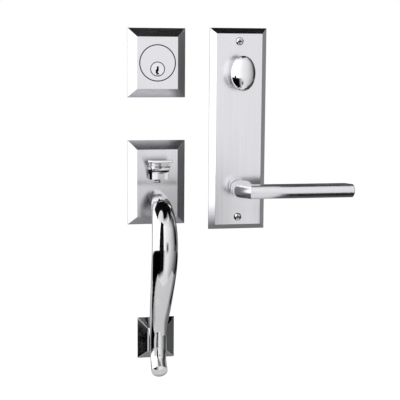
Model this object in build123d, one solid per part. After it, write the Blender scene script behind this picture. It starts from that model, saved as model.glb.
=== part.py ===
# Entry door handleset: outside deadbolt trim, outside grip trim and inside lever trim.
# All fronts face -Y and all flat backs lie on the door plane Y = 0, with +Z up.
# The origin is on the door plane, on the latch axis of the grip trim.
# The three trims hang side by side, as a set laid out before it is fitted to a door.
# Sizes are in millimetres. A depth is measured from the door plane towards the viewer.

import math
import os

from build123d import *

# Layout of the set
TRIM_WIDTH = 69.85
DEADBOLT_Z = 139.7
GRIP_ROSE_Z = -4.5
FOOT_Z = -198.2
INTERIOR_X = 100.0
THUMBTURN_Z = 128.1
AXIS_SPACING = 139.7
LEVER_Z = THUMBTURN_Z - AXIS_SPACING

# Bevelled roses outside
ROSE_DEPTH = 12.1
ROSE_BEVEL = 10.4
ROSE_EDGE = 2.0
ROSE_FACE = 6.0
ROSE_RIM = 3.4
DEADBOLT_ROSE_HEIGHT = 82.55
GRIP_ROSE_HEIGHT = 102.4
EDGE_SOFTNESS = 0.35

# Fits
SEAT_GAP = 0.3
RUNNING_GAP = 0.05
PIN_GAP = 0.1
END_GAP = 0.1

# Lock cylinder
CYLINDER_HEAD_RADIUS = 21.5
CYLINDER_HEAD_LENGTH = 3.0
CYLINDER_BODY_RADIUS = 19.0
CYLINDER_BACK = 18.0
PLUG_DROP = 7.2
PLUG_RADIUS = 6.35
PLUG_HEAD_RADIUS = 8.2
PLUG_HEAD_LENGTH = 1.5
PLUG_BACK = 20.0
PLUG_CAP_RADIUS = 9.0
PLUG_Z = DEADBOLT_Z - PLUG_DROP
KEYWAY_TOP = 3.2
KEYWAY_BACK = 17.0
CHAMBER_COUNT = 5
CHAMBER_PITCH = 3.9
CHAMBER_START = 5.0
CHAMBER_RADIUS = 1.45
PIN_RADIUS = CHAMBER_RADIUS - PIN_GAP
DRIVER_LENGTH = 5.0
CHAMBER_TOP = 22.5
CHAMBER_CAP_WIDTH = 4.0
CHAMBER_CAP_THICKNESS = 1.5
CHAMBER_CAP_MARGIN = 2.5
TAILPIECE_WIDTH = 2.4
TAILPIECE_HEIGHT = 8.0
TAILPIECE_BACK = 52.0
TAILPIECE_SEAT = 2.5
CYLINDER_POST_X = 13.0
CYLINDER_POST_RADIUS = 3.6
CYLINDER_POST_BACK = 32.0
CYLINDER_POST_START = 6.0

# Threaded posts and through bolts
POST_THREAD_RADIUS = 2.1
POST_THREAD_DEPTH = 18.0
GRIP_POST_X = 18.0
GRIP_POST_Z = -10.0
GRIP_POST_RADIUS = 3.3
GRIP_POST_BACK = 28.0
GRIP_POST_SEAT = 3.0
BOLT_RADIUS = 2.0
BOLT_THREAD_RADIUS = 1.75
BOLT_SHOULDER_MARGIN = 1.0
BOLT_HEAD_RADIUS = 3.8
BOLT_HEAD_LENGTH = 2.6
BOLT_HEAD_ROUNDING = 1.2
BOLT_SLOT_WIDTH = 1.0
BOLT_SLOT_DEPTH = 1.2
BOLT_BACK = 46.0

# Grip handle: each centre point has its depth and its share of the drop from root to foot
GRIP_ROOT_DROP = 18.5
GRIP_ROOT_Z = GRIP_ROSE_Z - GRIP_ROOT_DROP
GRIP_DROP = GRIP_ROOT_Z - FOOT_Z
GRIP_PATH = [
    (ROSE_DEPTH, 0.0),
    (32.0, 0.009),
    (49.0, 0.041),
    (61.0, 0.091),
    (70.5, 0.168),
    (74.0, 0.26),
    (72.0, 0.36),
    (65.5, 0.46),
    (52.5, 0.605),
    (37.5, 0.748),
    (26.0, 0.859),
    (21.4, 0.936),
    (20.4, 1.01),
    (20.9, 1.073),
    (23.6, 1.128),
    (29.2, 1.17),
    (37.0, 1.194),
]

# Half width and half thickness of the grip at each of its centre points
GRIP_SECTIONS = [
    (10.4, 10.3),
    (11.2, 10.3),
    (12.7, 10.4),
    (13.8, 10.7),
    (14.7, 11.1),
    (15.2, 11.4),
    (15.3, 11.5),
    (15.0, 11.4),
    (13.8, 11.0),
    (12.5, 10.6),
    (11.0, 10.3),
    (10.2, 10.1),
    (10.0, 9.9),
    (9.8, 9.7),
    (9.6, 9.5),
    (9.7, 9.6),
    (10.1, 10.0),
]
TIP_ANGLE = 24.0
TIP_DOME = 2.4
GRIP_TENON_RADIUS = 6.0
GRIP_TENON_LENGTH = 5.6
ROOT_SCREW_RADIUS = 3.0
ROOT_SCREW_REACH = 34.0
ROOT_SCREW_HEAD_RADIUS = 5.5
ROOT_SCREW_HEAD_LENGTH = 3.6
ROOT_WASHER_RADIUS = 9.0
ROOT_WASHER_THICKNESS = 1.5

# Thumbpiece and its pivot
TAB_LOW_WIDTH = 22.8
TAB_TOP_WIDTH = 29.8
TAB_LOW_Z = 1.5
TAB_BEND_Z = 8.0
TAB_TIP_Z = 23.3
TAB_FRONT_DEPTH = 23.6
TAB_TIP_DEPTH = 38.6
TAB_THICKNESS = 3.4
TAB_LIP_ANGLE = 26.0
TAB_EDGE = 0.7
TAB_CROWN = 74.0
STEM_WIDTH = 5.0
THUMB_SLOT_WIDTH = 7.2
THUMB_SLOT_LOW = -3.9
THUMB_SLOT_TOP = 10.0
THUMB_RELIEF_LOW = -8.4
THUMB_RELIEF_DEPTH = 9.2
THUMB_PIVOT_DEPTH = 3.2
THUMB_PIVOT_Z = -3.0
THUMB_PIN_RADIUS = 1.6
THUMB_TAIL_X = 8.0
THUMB_TAIL_Z = -6.5
THUMB_TAIL_RADIUS = 1.3
THUMB_TAIL_BACK = 11.6
THUMB_BOSS_RADIUS = 3.9
THUMB_WEB_FRONT = 4.7
THUMB_WEB_BACK = 7.2
THUMB_WIRE_RADIUS = 0.35
THUMB_WIRE_PITCH = 1.2
THUMB_WIRE_TURNS = 3.0

# Stem of the thumbpiece from the side, as (y, z) points from the tab's back to the tail
STEM_LOW_Z = 2.0
STEM_TOP_Z = 8.2
STEM_OUTLINE = [
    (-7.0, 7.0),
    (0.0, 1.0),
    (THUMB_WEB_BACK, -5.2),
    (THUMB_WEB_BACK, -8.0),
    (-2.0, -6.8),
    (-7.5, -2.0),
    (-ROSE_DEPTH, -1.3),
]

# Bracket, hub and latch spindle
HUB_ARM_COVER = 0.7
HUB_ARM_REACH = THUMB_TAIL_X + THUMB_TAIL_RADIUS + HUB_ARM_COVER
HUB_SIDE_ROOM = 2.0
BRACKET_SHEET = 2.0
BRACKET_HALF_WIDTH = HUB_ARM_REACH + HUB_SIDE_ROOM + BRACKET_SHEET
BRACKET_LOW = -6.2
BRACKET_TOP = 9.0
BRACKET_WEB_START = 13.0
BRACKET_WEB = 2.5
BRACKET_WEB_MARGIN = 3.5
BRACKET_CORNER = 3.0
BRACKET_SCREW_RADIUS = 1.4
BRACKET_SCREW_HEAD = 2.6
BRACKET_SCREW_HEAD_LENGTH = 1.9
BRACKET_SCREW_REACH = 4.0
BRACKET_FOOT_REACH = 2 * BRACKET_SCREW_HEAD + 1.2
HUB_FRONT = 9.5
HUB_FLANGE = 3.0
HUB_RADIUS = 7.0
HUB_JOURNAL_RADIUS = 6.2
HUB_GROOVE_RADIUS = 5.75
HUB_CLIP_RADIUS = 8.5
HUB_CLIP_THICKNESS = 1.0
HUB_CLIP_MOUTH = 5.0
HUB_ARM_LOW = -4.75
HUB_ARM_TOP = 0.5
SPINDLE_SQUARE = 7.0
SPINDLE_GAP = 0.05
LATCH_SPINDLE_BACK = 62.0

# Foot of the grip
FOOT_WIDTH = 45.4
FOOT_HEIGHT = 51.1
FOOT_DEPTH = 11.6
FOOT_BEVEL = 11.0
FOOT_EDGE = 1.2
FOOT_FACE = 3.6
FOOT_RIM = 3.2
INSERT_RADIUS = 4.5
INSERT_REACH = 24.0
INSERT_SHOULDER_RADIUS = 7.0
INSERT_SHOULDER = 2.5
INSERT_THREAD_RADIUS = 2.5

# Interior plate
PLATE_OVER_TURN = 53.75
PLATE_UNDER_LEVER = 52.05
PLATE_HEIGHT = PLATE_OVER_TURN + AXIS_SPACING + PLATE_UNDER_LEVER
PLATE_Z = THUMBTURN_Z + PLATE_OVER_TURN - PLATE_HEIGHT / 2
PLATE_DEPTH = 10.3
PLATE_BEVEL = 6.8
PLATE_EDGE = 2.0
PLATE_FACE = 4.0
PLATE_RIM = 3.0
PLATE_SCREW_INSET = 15.9
PLATE_SCREW_OFFSET = PLATE_HEIGHT / 2 - PLATE_SCREW_INSET
SCREW_HEAD_RADIUS = 4.8
SCREW_SHANK_RADIUS = 2.1
SCREW_THREAD_RADIUS = 1.9
SCREW_SHOULDER = 1.0
SCREW_HEAD_RISE = 1.5
SCREW_CONE = 2.4
SCREW_BACK = 16.0
SCREW_POINT = 2.0
SCREW_RECESS_DEPTH = 2.0
SCREW_RECESS_LENGTH = 5.2
SCREW_RECESS_WIDTH = 1.1
BACKPLATE_MARGIN = 3.4
BACKPLATE_WIDTH = TRIM_WIDTH - 2 * (PLATE_RIM + BACKPLATE_MARGIN)
BACKPLATE_HEIGHT = PLATE_HEIGHT - 2 * (PLATE_RIM + BACKPLATE_MARGIN)
BACKPLATE_THICKNESS = 1.6
BACKPLATE_CORNER = 3.0

# Thumbturn
TURN_HALF_WIDTH = 15.0
TURN_HALF_HEIGHT = 21.0
TURN_HALF_THICKNESS = 7.5
TURN_CENTRE_DEPTH = 32.0
TURN_STEM_RADIUS = 5.5
TURN_COLLAR_RADIUS = 8.0
TURN_COLLAR_LENGTH = 2.0
TURN_WASHER_THICKNESS = 0.7
TURN_GROOVE_RADIUS = 4.7
TURN_CLIP_RADIUS = 7.6
TURN_CLIP_THICKNESS = 1.0
TURN_CLIP_MOUTH = 4.0
TURN_SLOT_WIDTH = 2.8
TURN_SLOT_HEIGHT = 8.4
TURN_SLOT_DEPTH = 14.0

# Lever
LEVER_NECK_RADIUS = 9.5
LEVER_HEAD_RADIUS = 12.6
LEVER_HEAD_DEPTH = 41.0
LEVER_HEAD_RIM = 1.3
LEVER_ARM_FRONT = 59.6
LEVER_ARM_DEEP = 17.4
LEVER_ARM_TALL = 16.0
LEVER_ARM_BULGE = 3.4
LEVER_ARM_ROUNDING = 1.6
LEVER_CORNER_X = 4.7
LEVER_END_X = 134.5
LEVER_END_ANGLE = 27.0
LEVER_END_ROUNDING = 1.0
LEVER_CUT_ANGLE = 41.0
LEVER_JOURNAL_RADIUS = 9.0
LEVER_JOURNAL_FRONT = PLATE_DEPTH
LEVER_JOURNAL_BACK = 2.0
BUSHING_RADIUS = 11.0
BUSHING_BACK = 4.8
PLATE_LIP = 1.0
LEVER_GROOVE_RADIUS = 8.2
LEVER_CLIP_RADIUS = 11.4
LEVER_CLIP_THICKNESS = 1.0
LEVER_CLIP_MOUTH = 6.0
LEVER_SPINDLE_FRONT = 38.0
LEVER_SPINDLE_BACK = 58.0
SET_SCREW_DEPTH = 22.0
SET_SCREW_RADIUS = 2.0
SET_SCREW_LENGTH = 6.0

# Lever return spring cassette
HOUSING_RADIUS = 23.0
HOUSING_WALL = 1.5
HOUSING_LENGTH = 9.0
RETURN_HUB_RADIUS = 8.0
RETURN_JOURNAL_RADIUS = 6.2
RETURN_ARM_ROOM = 4.0
RETURN_ARM_REACH = HOUSING_RADIUS - HOUSING_WALL - RETURN_ARM_ROOM
RETURN_ARM_WIDTH = 6.0
RETURN_ARM_THICKNESS = 2.0
RETURN_COIL_RADIUS = 12.0
RETURN_WIRE_RADIUS = 0.8
RETURN_TURNS = 2.0
STOP_LUG_WIDTH = 5.0
STOP_LUG_REACH = 3.5

FRONTWARD = (Align.CENTER, Align.CENTER, Align.MIN)


def at(x, z, depth):
    # Place with its own axis pointing at the viewer
    return Plane.XZ.offset(depth).location * Pos(x, z, 0)


def rod(x, z, radius, low, high):
    # Round bar along the door's thickness, from one depth to a larger one
    return at(x, z, low) * Cylinder(radius, high - low, align=FRONTWARD)


def cone(x, z, radius_low, radius_high, low, high):
    return at(x, z, low) * Cone(radius_low, radius_high, high - low, align=FRONTWARD)


def block(x, z, width, height, low, high):
    return at(x, z, low) * Box(width, height, high - low, align=FRONTWARD)


def taper_block(x, z, low_size, high_size, low, high):
    low_face = at(x, z, low) * Rectangle(low_size[0], low_size[1])
    high_face = at(x, z, high) * Rectangle(high_size[0], high_size[1])
    return loft([low_face, high_face])


def cross_bar(x_low, x_high, depth, z, radius):
    # Round bar along X
    place = Plane(origin=(x_low, -depth, z), x_dir=(0, 1, 0), z_dir=(1, 0, 0))
    return place * Cylinder(radius, x_high - x_low, align=FRONTWARD)


def upright_bar(x, depth, z_low, z_high, radius):
    # Round bar along Z
    return Pos(x, -depth, z_low) * Cylinder(radius, z_high - z_low, align=FRONTWARD)


def side_profile(points, x, width):
    # Flat outline given as (y, z) points, thickened evenly to both sides of x
    place = Plane(origin=(x - width / 2, 0, 0), x_dir=(0, 1, 0), z_dir=(1, 0, 0))
    outline = place * make_face(Polyline(*points, close=True))
    return extrude(outline, amount=width)


def ring(x, z, outer, inner, low, high):
    return rod(x, z, outer, low, high) - rod(x, z, inner, low - 1, high + 1)


def bevelled_shell(x, z, width, height, depth, bevel, edge, face, rim):
    # Casting with a straight edge, four sloping sides, a flat face and a tapered hollow behind
    straight = block(x, z, width, height, 0, edge)
    slope = taper_block(x, z, (width, height), (width - 2 * bevel, height - 2 * bevel), edge, depth)
    shell = straight + slope
    corners = shell.edges().filter_by(Axis.Y, reverse=True)
    corners = [e for e in corners if e.center().Y < -edge - 0.01]
    shell = fillet(corners, EDGE_SOFTNESS)
    floor = depth - face
    run = bevel * (floor - edge) / (depth - edge)
    back_size = (width - 2 * rim, height - 2 * rim)
    floor_size = (width - 2 * run - 2 * rim, height - 2 * run - 2 * rim)
    hollow = taper_block(x, z, back_size, floor_size, 0, floor)
    return shell - hollow


def threaded_post(x, z, radius, front, back):
    post = rod(x, z, radius, -back, front)
    post = post - rod(x, z, POST_THREAD_RADIUS, -back - 1, -back + POST_THREAD_DEPTH)
    mouth = cone(x, z, POST_THREAD_RADIUS + 0.8, POST_THREAD_RADIUS, -back, -back + 0.8)
    return post - mouth


def as_parts(solids):
    return Compound(children=list(solids))


# Deadbolt trim

def make_deadbolt_rose():
    rose = bevelled_shell(0, DEADBOLT_Z, TRIM_WIDTH, DEADBOLT_ROSE_HEIGHT, ROSE_DEPTH,
                          ROSE_BEVEL, ROSE_EDGE, ROSE_FACE, ROSE_RIM)
    shoulder = ROSE_DEPTH - CYLINDER_HEAD_LENGTH
    rose = rose - rod(0, DEADBOLT_Z, CYLINDER_HEAD_RADIUS + SEAT_GAP, shoulder, ROSE_DEPTH + 1)
    return rose - rod(0, DEADBOLT_Z, CYLINDER_BODY_RADIUS + SEAT_GAP, -1, shoulder + 1)


def chamber_positions():
    return [CHAMBER_START - CHAMBER_PITCH * index for index in range(CHAMBER_COUNT)]


def make_cylinder_body():
    shoulder = ROSE_DEPTH - CYLINDER_HEAD_LENGTH
    head = rod(0, DEADBOLT_Z, CYLINDER_HEAD_RADIUS, shoulder, ROSE_DEPTH)
    head = chamfer(head.edges().filter_by(GeomType.CIRCLE).sort_by(Axis.Y)[0], 0.5)
    body = head + rod(0, DEADBOLT_Z, CYLINDER_BODY_RADIUS, -CYLINDER_BACK, shoulder)
    body = body - rod(0, PLUG_Z, PLUG_RADIUS + RUNNING_GAP, -CYLINDER_BACK - 1, ROSE_DEPTH + 1)
    head_floor = ROSE_DEPTH - PLUG_HEAD_LENGTH
    body = body - rod(0, PLUG_Z, PLUG_HEAD_RADIUS + SEAT_GAP, head_floor, ROSE_DEPTH + 1)
    for depth in chamber_positions():
        body = body - upright_bar(0, depth, PLUG_Z, PLUG_Z + CHAMBER_TOP + 0.5, CHAMBER_RADIUS)
    body = body - chamber_strip(CYLINDER_BODY_RADIUS)
    for x in (-CYLINDER_POST_X, CYLINDER_POST_X):
        body = body - rod(x, DEADBOLT_Z, CYLINDER_POST_RADIUS, -CYLINDER_BACK - 1, -CYLINDER_POST_START)
    return body


def chamber_strip(height):
    # Strip over the chambers, as tall as given
    first = chamber_positions()[0] + CHAMBER_CAP_MARGIN
    last = chamber_positions()[-1] - CHAMBER_CAP_MARGIN
    low = PLUG_Z + CHAMBER_TOP
    return block(0, low + height / 2, CHAMBER_CAP_WIDTH, height, last, first)


def make_chamber_cap():
    return chamber_strip(CHAMBER_CAP_THICKNESS)


def keyway_points():
    # Stepped keyway outline about the plug's centre
    return [
        (0.0, KEYWAY_TOP),
        (1.4, KEYWAY_TOP),
        (1.4, -1.9),
        (0.5, -2.6),
        (0.5, -4.4),
        (1.5, -5.0),
        (1.5, -7.3),
        (-0.6, -7.3),
        (-0.6, -5.4),
        (-1.7, -4.8),
        (-1.7, -2.2),
        (0.0, -1.4),
    ]


def make_key_plug():
    head_floor = ROSE_DEPTH - PLUG_HEAD_LENGTH
    head = rod(0, PLUG_Z, PLUG_HEAD_RADIUS, head_floor, ROSE_DEPTH)
    head = chamfer(head.edges().filter_by(GeomType.CIRCLE).sort_by(Axis.Y)[0], 0.4)
    plug = head + rod(0, PLUG_Z, PLUG_RADIUS, -PLUG_BACK, head_floor)
    slot = make_face(Polyline(*keyway_points(), close=True))
    slot = extrude(at(0, PLUG_Z, -KEYWAY_BACK) * slot, amount=KEYWAY_BACK + ROSE_DEPTH + 1)
    plug = plug - slot
    for depth in chamber_positions():
        low = PLUG_Z + KEYWAY_TOP - 0.5
        plug = plug - upright_bar(0, depth, low, PLUG_Z + PLUG_RADIUS + 1, CHAMBER_RADIUS)
    seat = -PLUG_BACK + TAILPIECE_SEAT
    blade = block(0, PLUG_Z, TAILPIECE_WIDTH, TAILPIECE_HEIGHT, -PLUG_BACK - 1, seat)
    return plug - blade


def make_key_pins():
    # Pins that rest in the plug, under the shear line
    pins = []
    low = PLUG_Z + KEYWAY_TOP - 0.4
    high = PLUG_Z + PLUG_RADIUS - 0.2
    for depth in chamber_positions():
        pin = upright_bar(0, depth, low, high, PIN_RADIUS)
        pin = chamfer(pin.edges().filter_by(GeomType.CIRCLE).sort_by(Axis.Z)[0], 0.6)
        pins.append(pin)
    return as_parts(pins)


def make_driver_pins():
    pins = []
    low = PLUG_Z + PLUG_RADIUS + PIN_GAP
    for depth in chamber_positions():
        pins.append(upright_bar(0, depth, low, low + DRIVER_LENGTH, PIN_RADIUS))
    return as_parts(pins)


def make_pin_springs():
    # Each small spring keeps the outline of its coil
    springs = []
    low = PLUG_Z + PLUG_RADIUS + PIN_GAP + DRIVER_LENGTH
    high = PLUG_Z + CHAMBER_TOP
    for depth in chamber_positions():
        outer = upright_bar(0, depth, low, high, PIN_RADIUS - 0.1)
        inner = upright_bar(0, depth, low - 1, high + 1, PIN_RADIUS - 0.5)
        springs.append(outer - inner)
    return as_parts(springs)


def make_plug_cap():
    front = -CYLINDER_BACK - END_GAP
    return ring(0, PLUG_Z, PLUG_CAP_RADIUS, PLUG_RADIUS, -PLUG_BACK, front)


def make_tailpiece():
    seat = -PLUG_BACK + TAILPIECE_SEAT
    blade = block(0, PLUG_Z, TAILPIECE_WIDTH, TAILPIECE_HEIGHT, -TAILPIECE_BACK, seat)
    ends = blade.edges().filter_by(Axis.X).sort_by(Axis.Y)[-2:]
    return chamfer(ends, 1.5)


def make_cylinder_posts():
    posts = []
    start = -CYLINDER_POST_START
    for x in (-CYLINDER_POST_X, CYLINDER_POST_X):
        posts.append(threaded_post(x, DEADBOLT_Z, CYLINDER_POST_RADIUS, start, CYLINDER_POST_BACK))
    return as_parts(posts)


# Grip trim

def make_grip_rose():
    rose = bevelled_shell(0, GRIP_ROSE_Z, TRIM_WIDTH, GRIP_ROSE_HEIGHT, ROSE_DEPTH,
                          ROSE_BEVEL, ROSE_EDGE, ROSE_FACE, ROSE_RIM)
    slot_z = (THUMB_SLOT_LOW + THUMB_SLOT_TOP) / 2
    slot_height = THUMB_SLOT_TOP - THUMB_SLOT_LOW
    rose = rose - block(0, slot_z, THUMB_SLOT_WIDTH, slot_height, 0, ROSE_DEPTH + 1)
    relief_z = (THUMB_RELIEF_LOW + THUMB_SLOT_TOP) / 2
    relief_height = THUMB_SLOT_TOP - THUMB_RELIEF_LOW
    rose = rose - block(0, relief_z, THUMB_SLOT_WIDTH, relief_height, 0, THUMB_RELIEF_DEPTH)
    rose = rose - rod(0, GRIP_ROOT_Z, GRIP_TENON_RADIUS, 0, ROSE_DEPTH + 1)
    floor = ROSE_DEPTH - ROSE_FACE
    for x in (-GRIP_POST_X, GRIP_POST_X):
        rose = rose - rod(x, GRIP_POST_Z, GRIP_POST_RADIUS, 0, floor + GRIP_POST_SEAT)
    for x in bracket_screw_positions():
        rose = rose - rod(x, bracket_screw_z(), BRACKET_SCREW_RADIUS, 0, floor + BRACKET_SCREW_REACH)
    return rose


def grip_planes():
    # Section planes square to the centre line of the grip
    points = [Vector(0, -depth, GRIP_ROOT_Z - share * GRIP_DROP) for depth, share in GRIP_PATH]
    tip = math.radians(TIP_ANGLE)
    first = Vector(0, -1, 0)
    last = Vector(0, -math.cos(tip), -math.sin(tip))
    path = Spline(*points, tangents=[first, last])
    planes = []
    for point in points:
        share = path.param_at_point(point)
        planes.append(Plane(origin=point, x_dir=(1, 0, 0), z_dir=path.tangent_at(share)))
    planes[0] = Plane(origin=points[0], x_dir=(1, 0, 0), z_dir=first)
    planes[-1] = Plane(origin=points[-1], x_dir=(1, 0, 0), z_dir=last)
    return planes


def make_grip_handle():
    sections = []
    for plane, (across, thick) in zip(grip_planes(), GRIP_SECTIONS):
        sections.append(plane * Ellipse(across, thick))
    tip_across = GRIP_SECTIONS[-1][0]
    tip_plane = grip_planes()[-1].offset(-TIP_DOME)
    handle = loft(sections)
    handle = handle - beyond_dome(tip_plane, tip_across, TIP_DOME)
    tenon = rod(0, GRIP_ROOT_Z, GRIP_TENON_RADIUS, ROSE_DEPTH - GRIP_TENON_LENGTH, ROSE_DEPTH + 1)
    handle = handle + tenon
    handle = handle - rod(0, GRIP_ROOT_Z, ROOT_SCREW_RADIUS, 0, ROOT_SCREW_REACH)
    pad_height = FOOT_HEIGHT - 2 * FOOT_BEVEL + 1.0
    handle = handle - block(0, FOOT_Z, FOOT_WIDTH, pad_height, 0, FOOT_DEPTH)
    handle = handle - rod(0, FOOT_Z, INSERT_RADIUS, 0, INSERT_REACH)
    return handle


def beyond_dome(plane, radius, rise):
    # What lies outside a shallow round cap of this radius and rise
    ball_radius = (radius * radius + rise * rise) / (2 * rise)
    ball = plane * Pos(0, 0, rise - ball_radius) * Sphere(ball_radius)
    return plane * Cylinder(2 * radius, 4 * rise, align=FRONTWARD) - ball


def dome(plane, radius, rise):
    # Shallow round cap on a flat end
    ball_radius = (radius * radius + rise * rise) / (2 * rise)
    sink = ball_radius - rise
    ball = plane * Pos(0, 0, -sink) * Sphere(ball_radius)
    keep = plane * Cylinder(radius, rise + 1, align=FRONTWARD)
    return ball & keep


def make_grip_root_washer():
    floor = ROSE_DEPTH - ROSE_FACE
    return ring(0, GRIP_ROOT_Z, ROOT_WASHER_RADIUS, ROOT_SCREW_RADIUS, floor - ROOT_WASHER_THICKNESS, floor)


def make_grip_root_screw():
    floor = ROSE_DEPTH - ROSE_FACE
    seat = floor - ROOT_WASHER_THICKNESS
    head = rod(0, GRIP_ROOT_Z, ROOT_SCREW_HEAD_RADIUS, seat - ROOT_SCREW_HEAD_LENGTH, seat)
    socket = at(0, GRIP_ROOT_Z, seat - ROOT_SCREW_HEAD_LENGTH) * RegularPolygon(2.8, 6)
    head = head - extrude(socket, amount=2.2)
    return head + rod(0, GRIP_ROOT_Z, ROOT_SCREW_RADIUS, seat, ROOT_SCREW_REACH)


def tab_side_face():
    # Side outline of the tab: flat below, then curling out to a thick lip
    place = Plane(origin=(0, 0, 0), x_dir=(0, 1, 0), z_dir=(1, 0, 0))
    front = -TAB_FRONT_DEPTH
    tip = -TAB_TIP_DEPTH
    lean = math.radians(TAB_LIP_ANGLE)
    along = (-math.cos(lean), math.sin(lean))
    across = (math.sin(lean) * TAB_THICKNESS, math.cos(lean) * TAB_THICKNESS)
    low = Line((front, TAB_LOW_Z), (front, TAB_BEND_Z))
    outer = Spline((front, TAB_BEND_Z), (tip, TAB_TIP_Z), tangents=[(0, 1), along])
    end = Line((tip, TAB_TIP_Z), (tip + across[0], TAB_TIP_Z + across[1]))
    back = front + TAB_THICKNESS
    inner = Spline((tip + across[0], TAB_TIP_Z + across[1]), (back, TAB_BEND_Z),
                   tangents=[(-along[0], -along[1]), (0, -1)])
    rise = Line((back, TAB_BEND_Z), (back, TAB_LOW_Z))
    base = Line((back, TAB_LOW_Z), (front, TAB_LOW_Z))
    face = make_face([low, outer, end, inner, rise, base])
    return place * face


def make_thumbpiece():
    # The tab is turned about an upright axis behind the door, so its front is slightly crowned
    behind = TAB_CROWN - TAB_FRONT_DEPTH
    tab = revolve(tab_side_face(), axis=Axis((0, behind, 0), (0, 0, 1)))
    top_z = TAB_TIP_Z + TAB_THICKNESS
    outline = Polyline(
        (-TAB_LOW_WIDTH / 2, TAB_LOW_Z),
        (TAB_LOW_WIDTH / 2, TAB_LOW_Z),
        (TAB_TOP_WIDTH / 2, top_z),
        (-TAB_TOP_WIDTH / 2, top_z),
        close=True,
    )
    fan = extrude(at(0, 0, 0) * make_face(outline), amount=2 * TAB_TIP_DEPTH)
    tab = tab & fan
    soft = [e for e in tab.edges() if e.center().Y < -TAB_FRONT_DEPTH - 1]
    tab = fillet(soft, TAB_EDGE)
    root = -TAB_FRONT_DEPTH + TAB_THICKNESS - 1.0
    stem = side_profile([(root, STEM_LOW_Z), (root, STEM_TOP_Z)] + STEM_OUTLINE, 0, STEM_WIDTH)
    half = STEM_WIDTH / 2
    boss = cross_bar(-half, half, THUMB_PIVOT_DEPTH, THUMB_PIVOT_Z, THUMB_BOSS_RADIUS)
    web_width = THUMB_TAIL_X + THUMB_TAIL_RADIUS
    web_height = 2 * THUMB_TAIL_RADIUS
    web = block(web_width / 2, THUMB_TAIL_Z, web_width, web_height, -THUMB_WEB_BACK, -THUMB_WEB_FRONT)
    finger = rod(THUMB_TAIL_X, THUMB_TAIL_Z, THUMB_TAIL_RADIUS, -THUMB_TAIL_BACK, -THUMB_WEB_FRONT)
    piece = tab + stem + boss + web + finger
    bore = THUMB_PIN_RADIUS + RUNNING_GAP
    return piece - cross_bar(-STEM_WIDTH, STEM_WIDTH, THUMB_PIVOT_DEPTH, THUMB_PIVOT_Z, bore)


def bracket_screw_positions():
    reach = BRACKET_HALF_WIDTH + BRACKET_FOOT_REACH / 2
    return (-reach, reach)


def bracket_screw_z():
    return BRACKET_TOP / 2


def make_thumb_bracket():
    floor = ROSE_DEPTH - ROSE_FACE
    web_back = -BRACKET_WEB_START - BRACKET_WEB
    side_z = (BRACKET_LOW + BRACKET_TOP) / 2
    side_height = BRACKET_TOP - BRACKET_LOW
    web_height = 2 * (HUB_CLIP_RADIUS + BRACKET_WEB_MARGIN)
    web = block(0, 0, 2 * BRACKET_HALF_WIDTH, web_height, web_back, -BRACKET_WEB_START)
    bracket = fillet(web.edges().filter_by(Axis.Y), BRACKET_CORNER)
    for sign in (-1, 1):
        x = sign * (BRACKET_HALF_WIDTH - BRACKET_SHEET / 2)
        bracket = bracket + block(x, side_z, BRACKET_SHEET, side_height, web_back, floor)
        foot_x = sign * (BRACKET_HALF_WIDTH + BRACKET_FOOT_REACH / 2)
        foot = block(foot_x, BRACKET_TOP / 2, BRACKET_FOOT_REACH, BRACKET_TOP, floor - BRACKET_SHEET, floor)
        bracket = bracket + foot
    for x in bracket_screw_positions():
        bracket = bracket - rod(x, bracket_screw_z(), BRACKET_SCREW_RADIUS, 0, floor + 1)
    reach = BRACKET_HALF_WIDTH + 1
    bracket = bracket - cross_bar(-reach, reach, THUMB_PIVOT_DEPTH, THUMB_PIVOT_Z, THUMB_PIN_RADIUS)
    bore = HUB_JOURNAL_RADIUS + RUNNING_GAP
    return bracket - rod(0, 0, bore, web_back - 1, -BRACKET_WEB_START + 1)


def make_bracket_screws():
    floor = ROSE_DEPTH - ROSE_FACE
    seat = floor - BRACKET_SHEET
    screws = []
    for x in bracket_screw_positions():
        low = seat - BRACKET_SCREW_HEAD_LENGTH
        head = rod(x, bracket_screw_z(), BRACKET_SCREW_HEAD, low, seat)
        head = head - block(x, bracket_screw_z(), 0.9, 2 * BRACKET_SCREW_HEAD + 1, low - 1, low + 0.9)
        high = floor + BRACKET_SCREW_REACH
        screws.append(head + rod(x, bracket_screw_z(), BRACKET_SCREW_RADIUS, seat, high))
    return as_parts(screws)


def make_thumb_pivot_pin():
    half = BRACKET_HALF_WIDTH
    return cross_bar(-half, half, THUMB_PIVOT_DEPTH, THUMB_PIVOT_Z, THUMB_PIN_RADIUS)


def make_thumb_spring():
    # Torsion spring on the pivot pin, one leg on the tail and one in the bracket's side
    wire = THUMB_WIRE_RADIUS
    radius = THUMB_PIN_RADIUS + PIN_GAP + wire
    start_x = -STEM_WIDTH / 2 - SEAT_GAP - wire
    height = THUMB_WIRE_TURNS * THUMB_WIRE_PITCH
    coil = Helix(pitch=THUMB_WIRE_PITCH, height=height, radius=radius)
    place = Plane(origin=(start_x, -THUMB_PIVOT_DEPTH, THUMB_PIVOT_Z), x_dir=(0, 0, 1), z_dir=(-1, 0, 0))
    coil = place * coil
    tube = sweep(Plane(origin=coil @ 0, z_dir=coil % 0) * Circle(wire), path=coil)
    return tube


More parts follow.
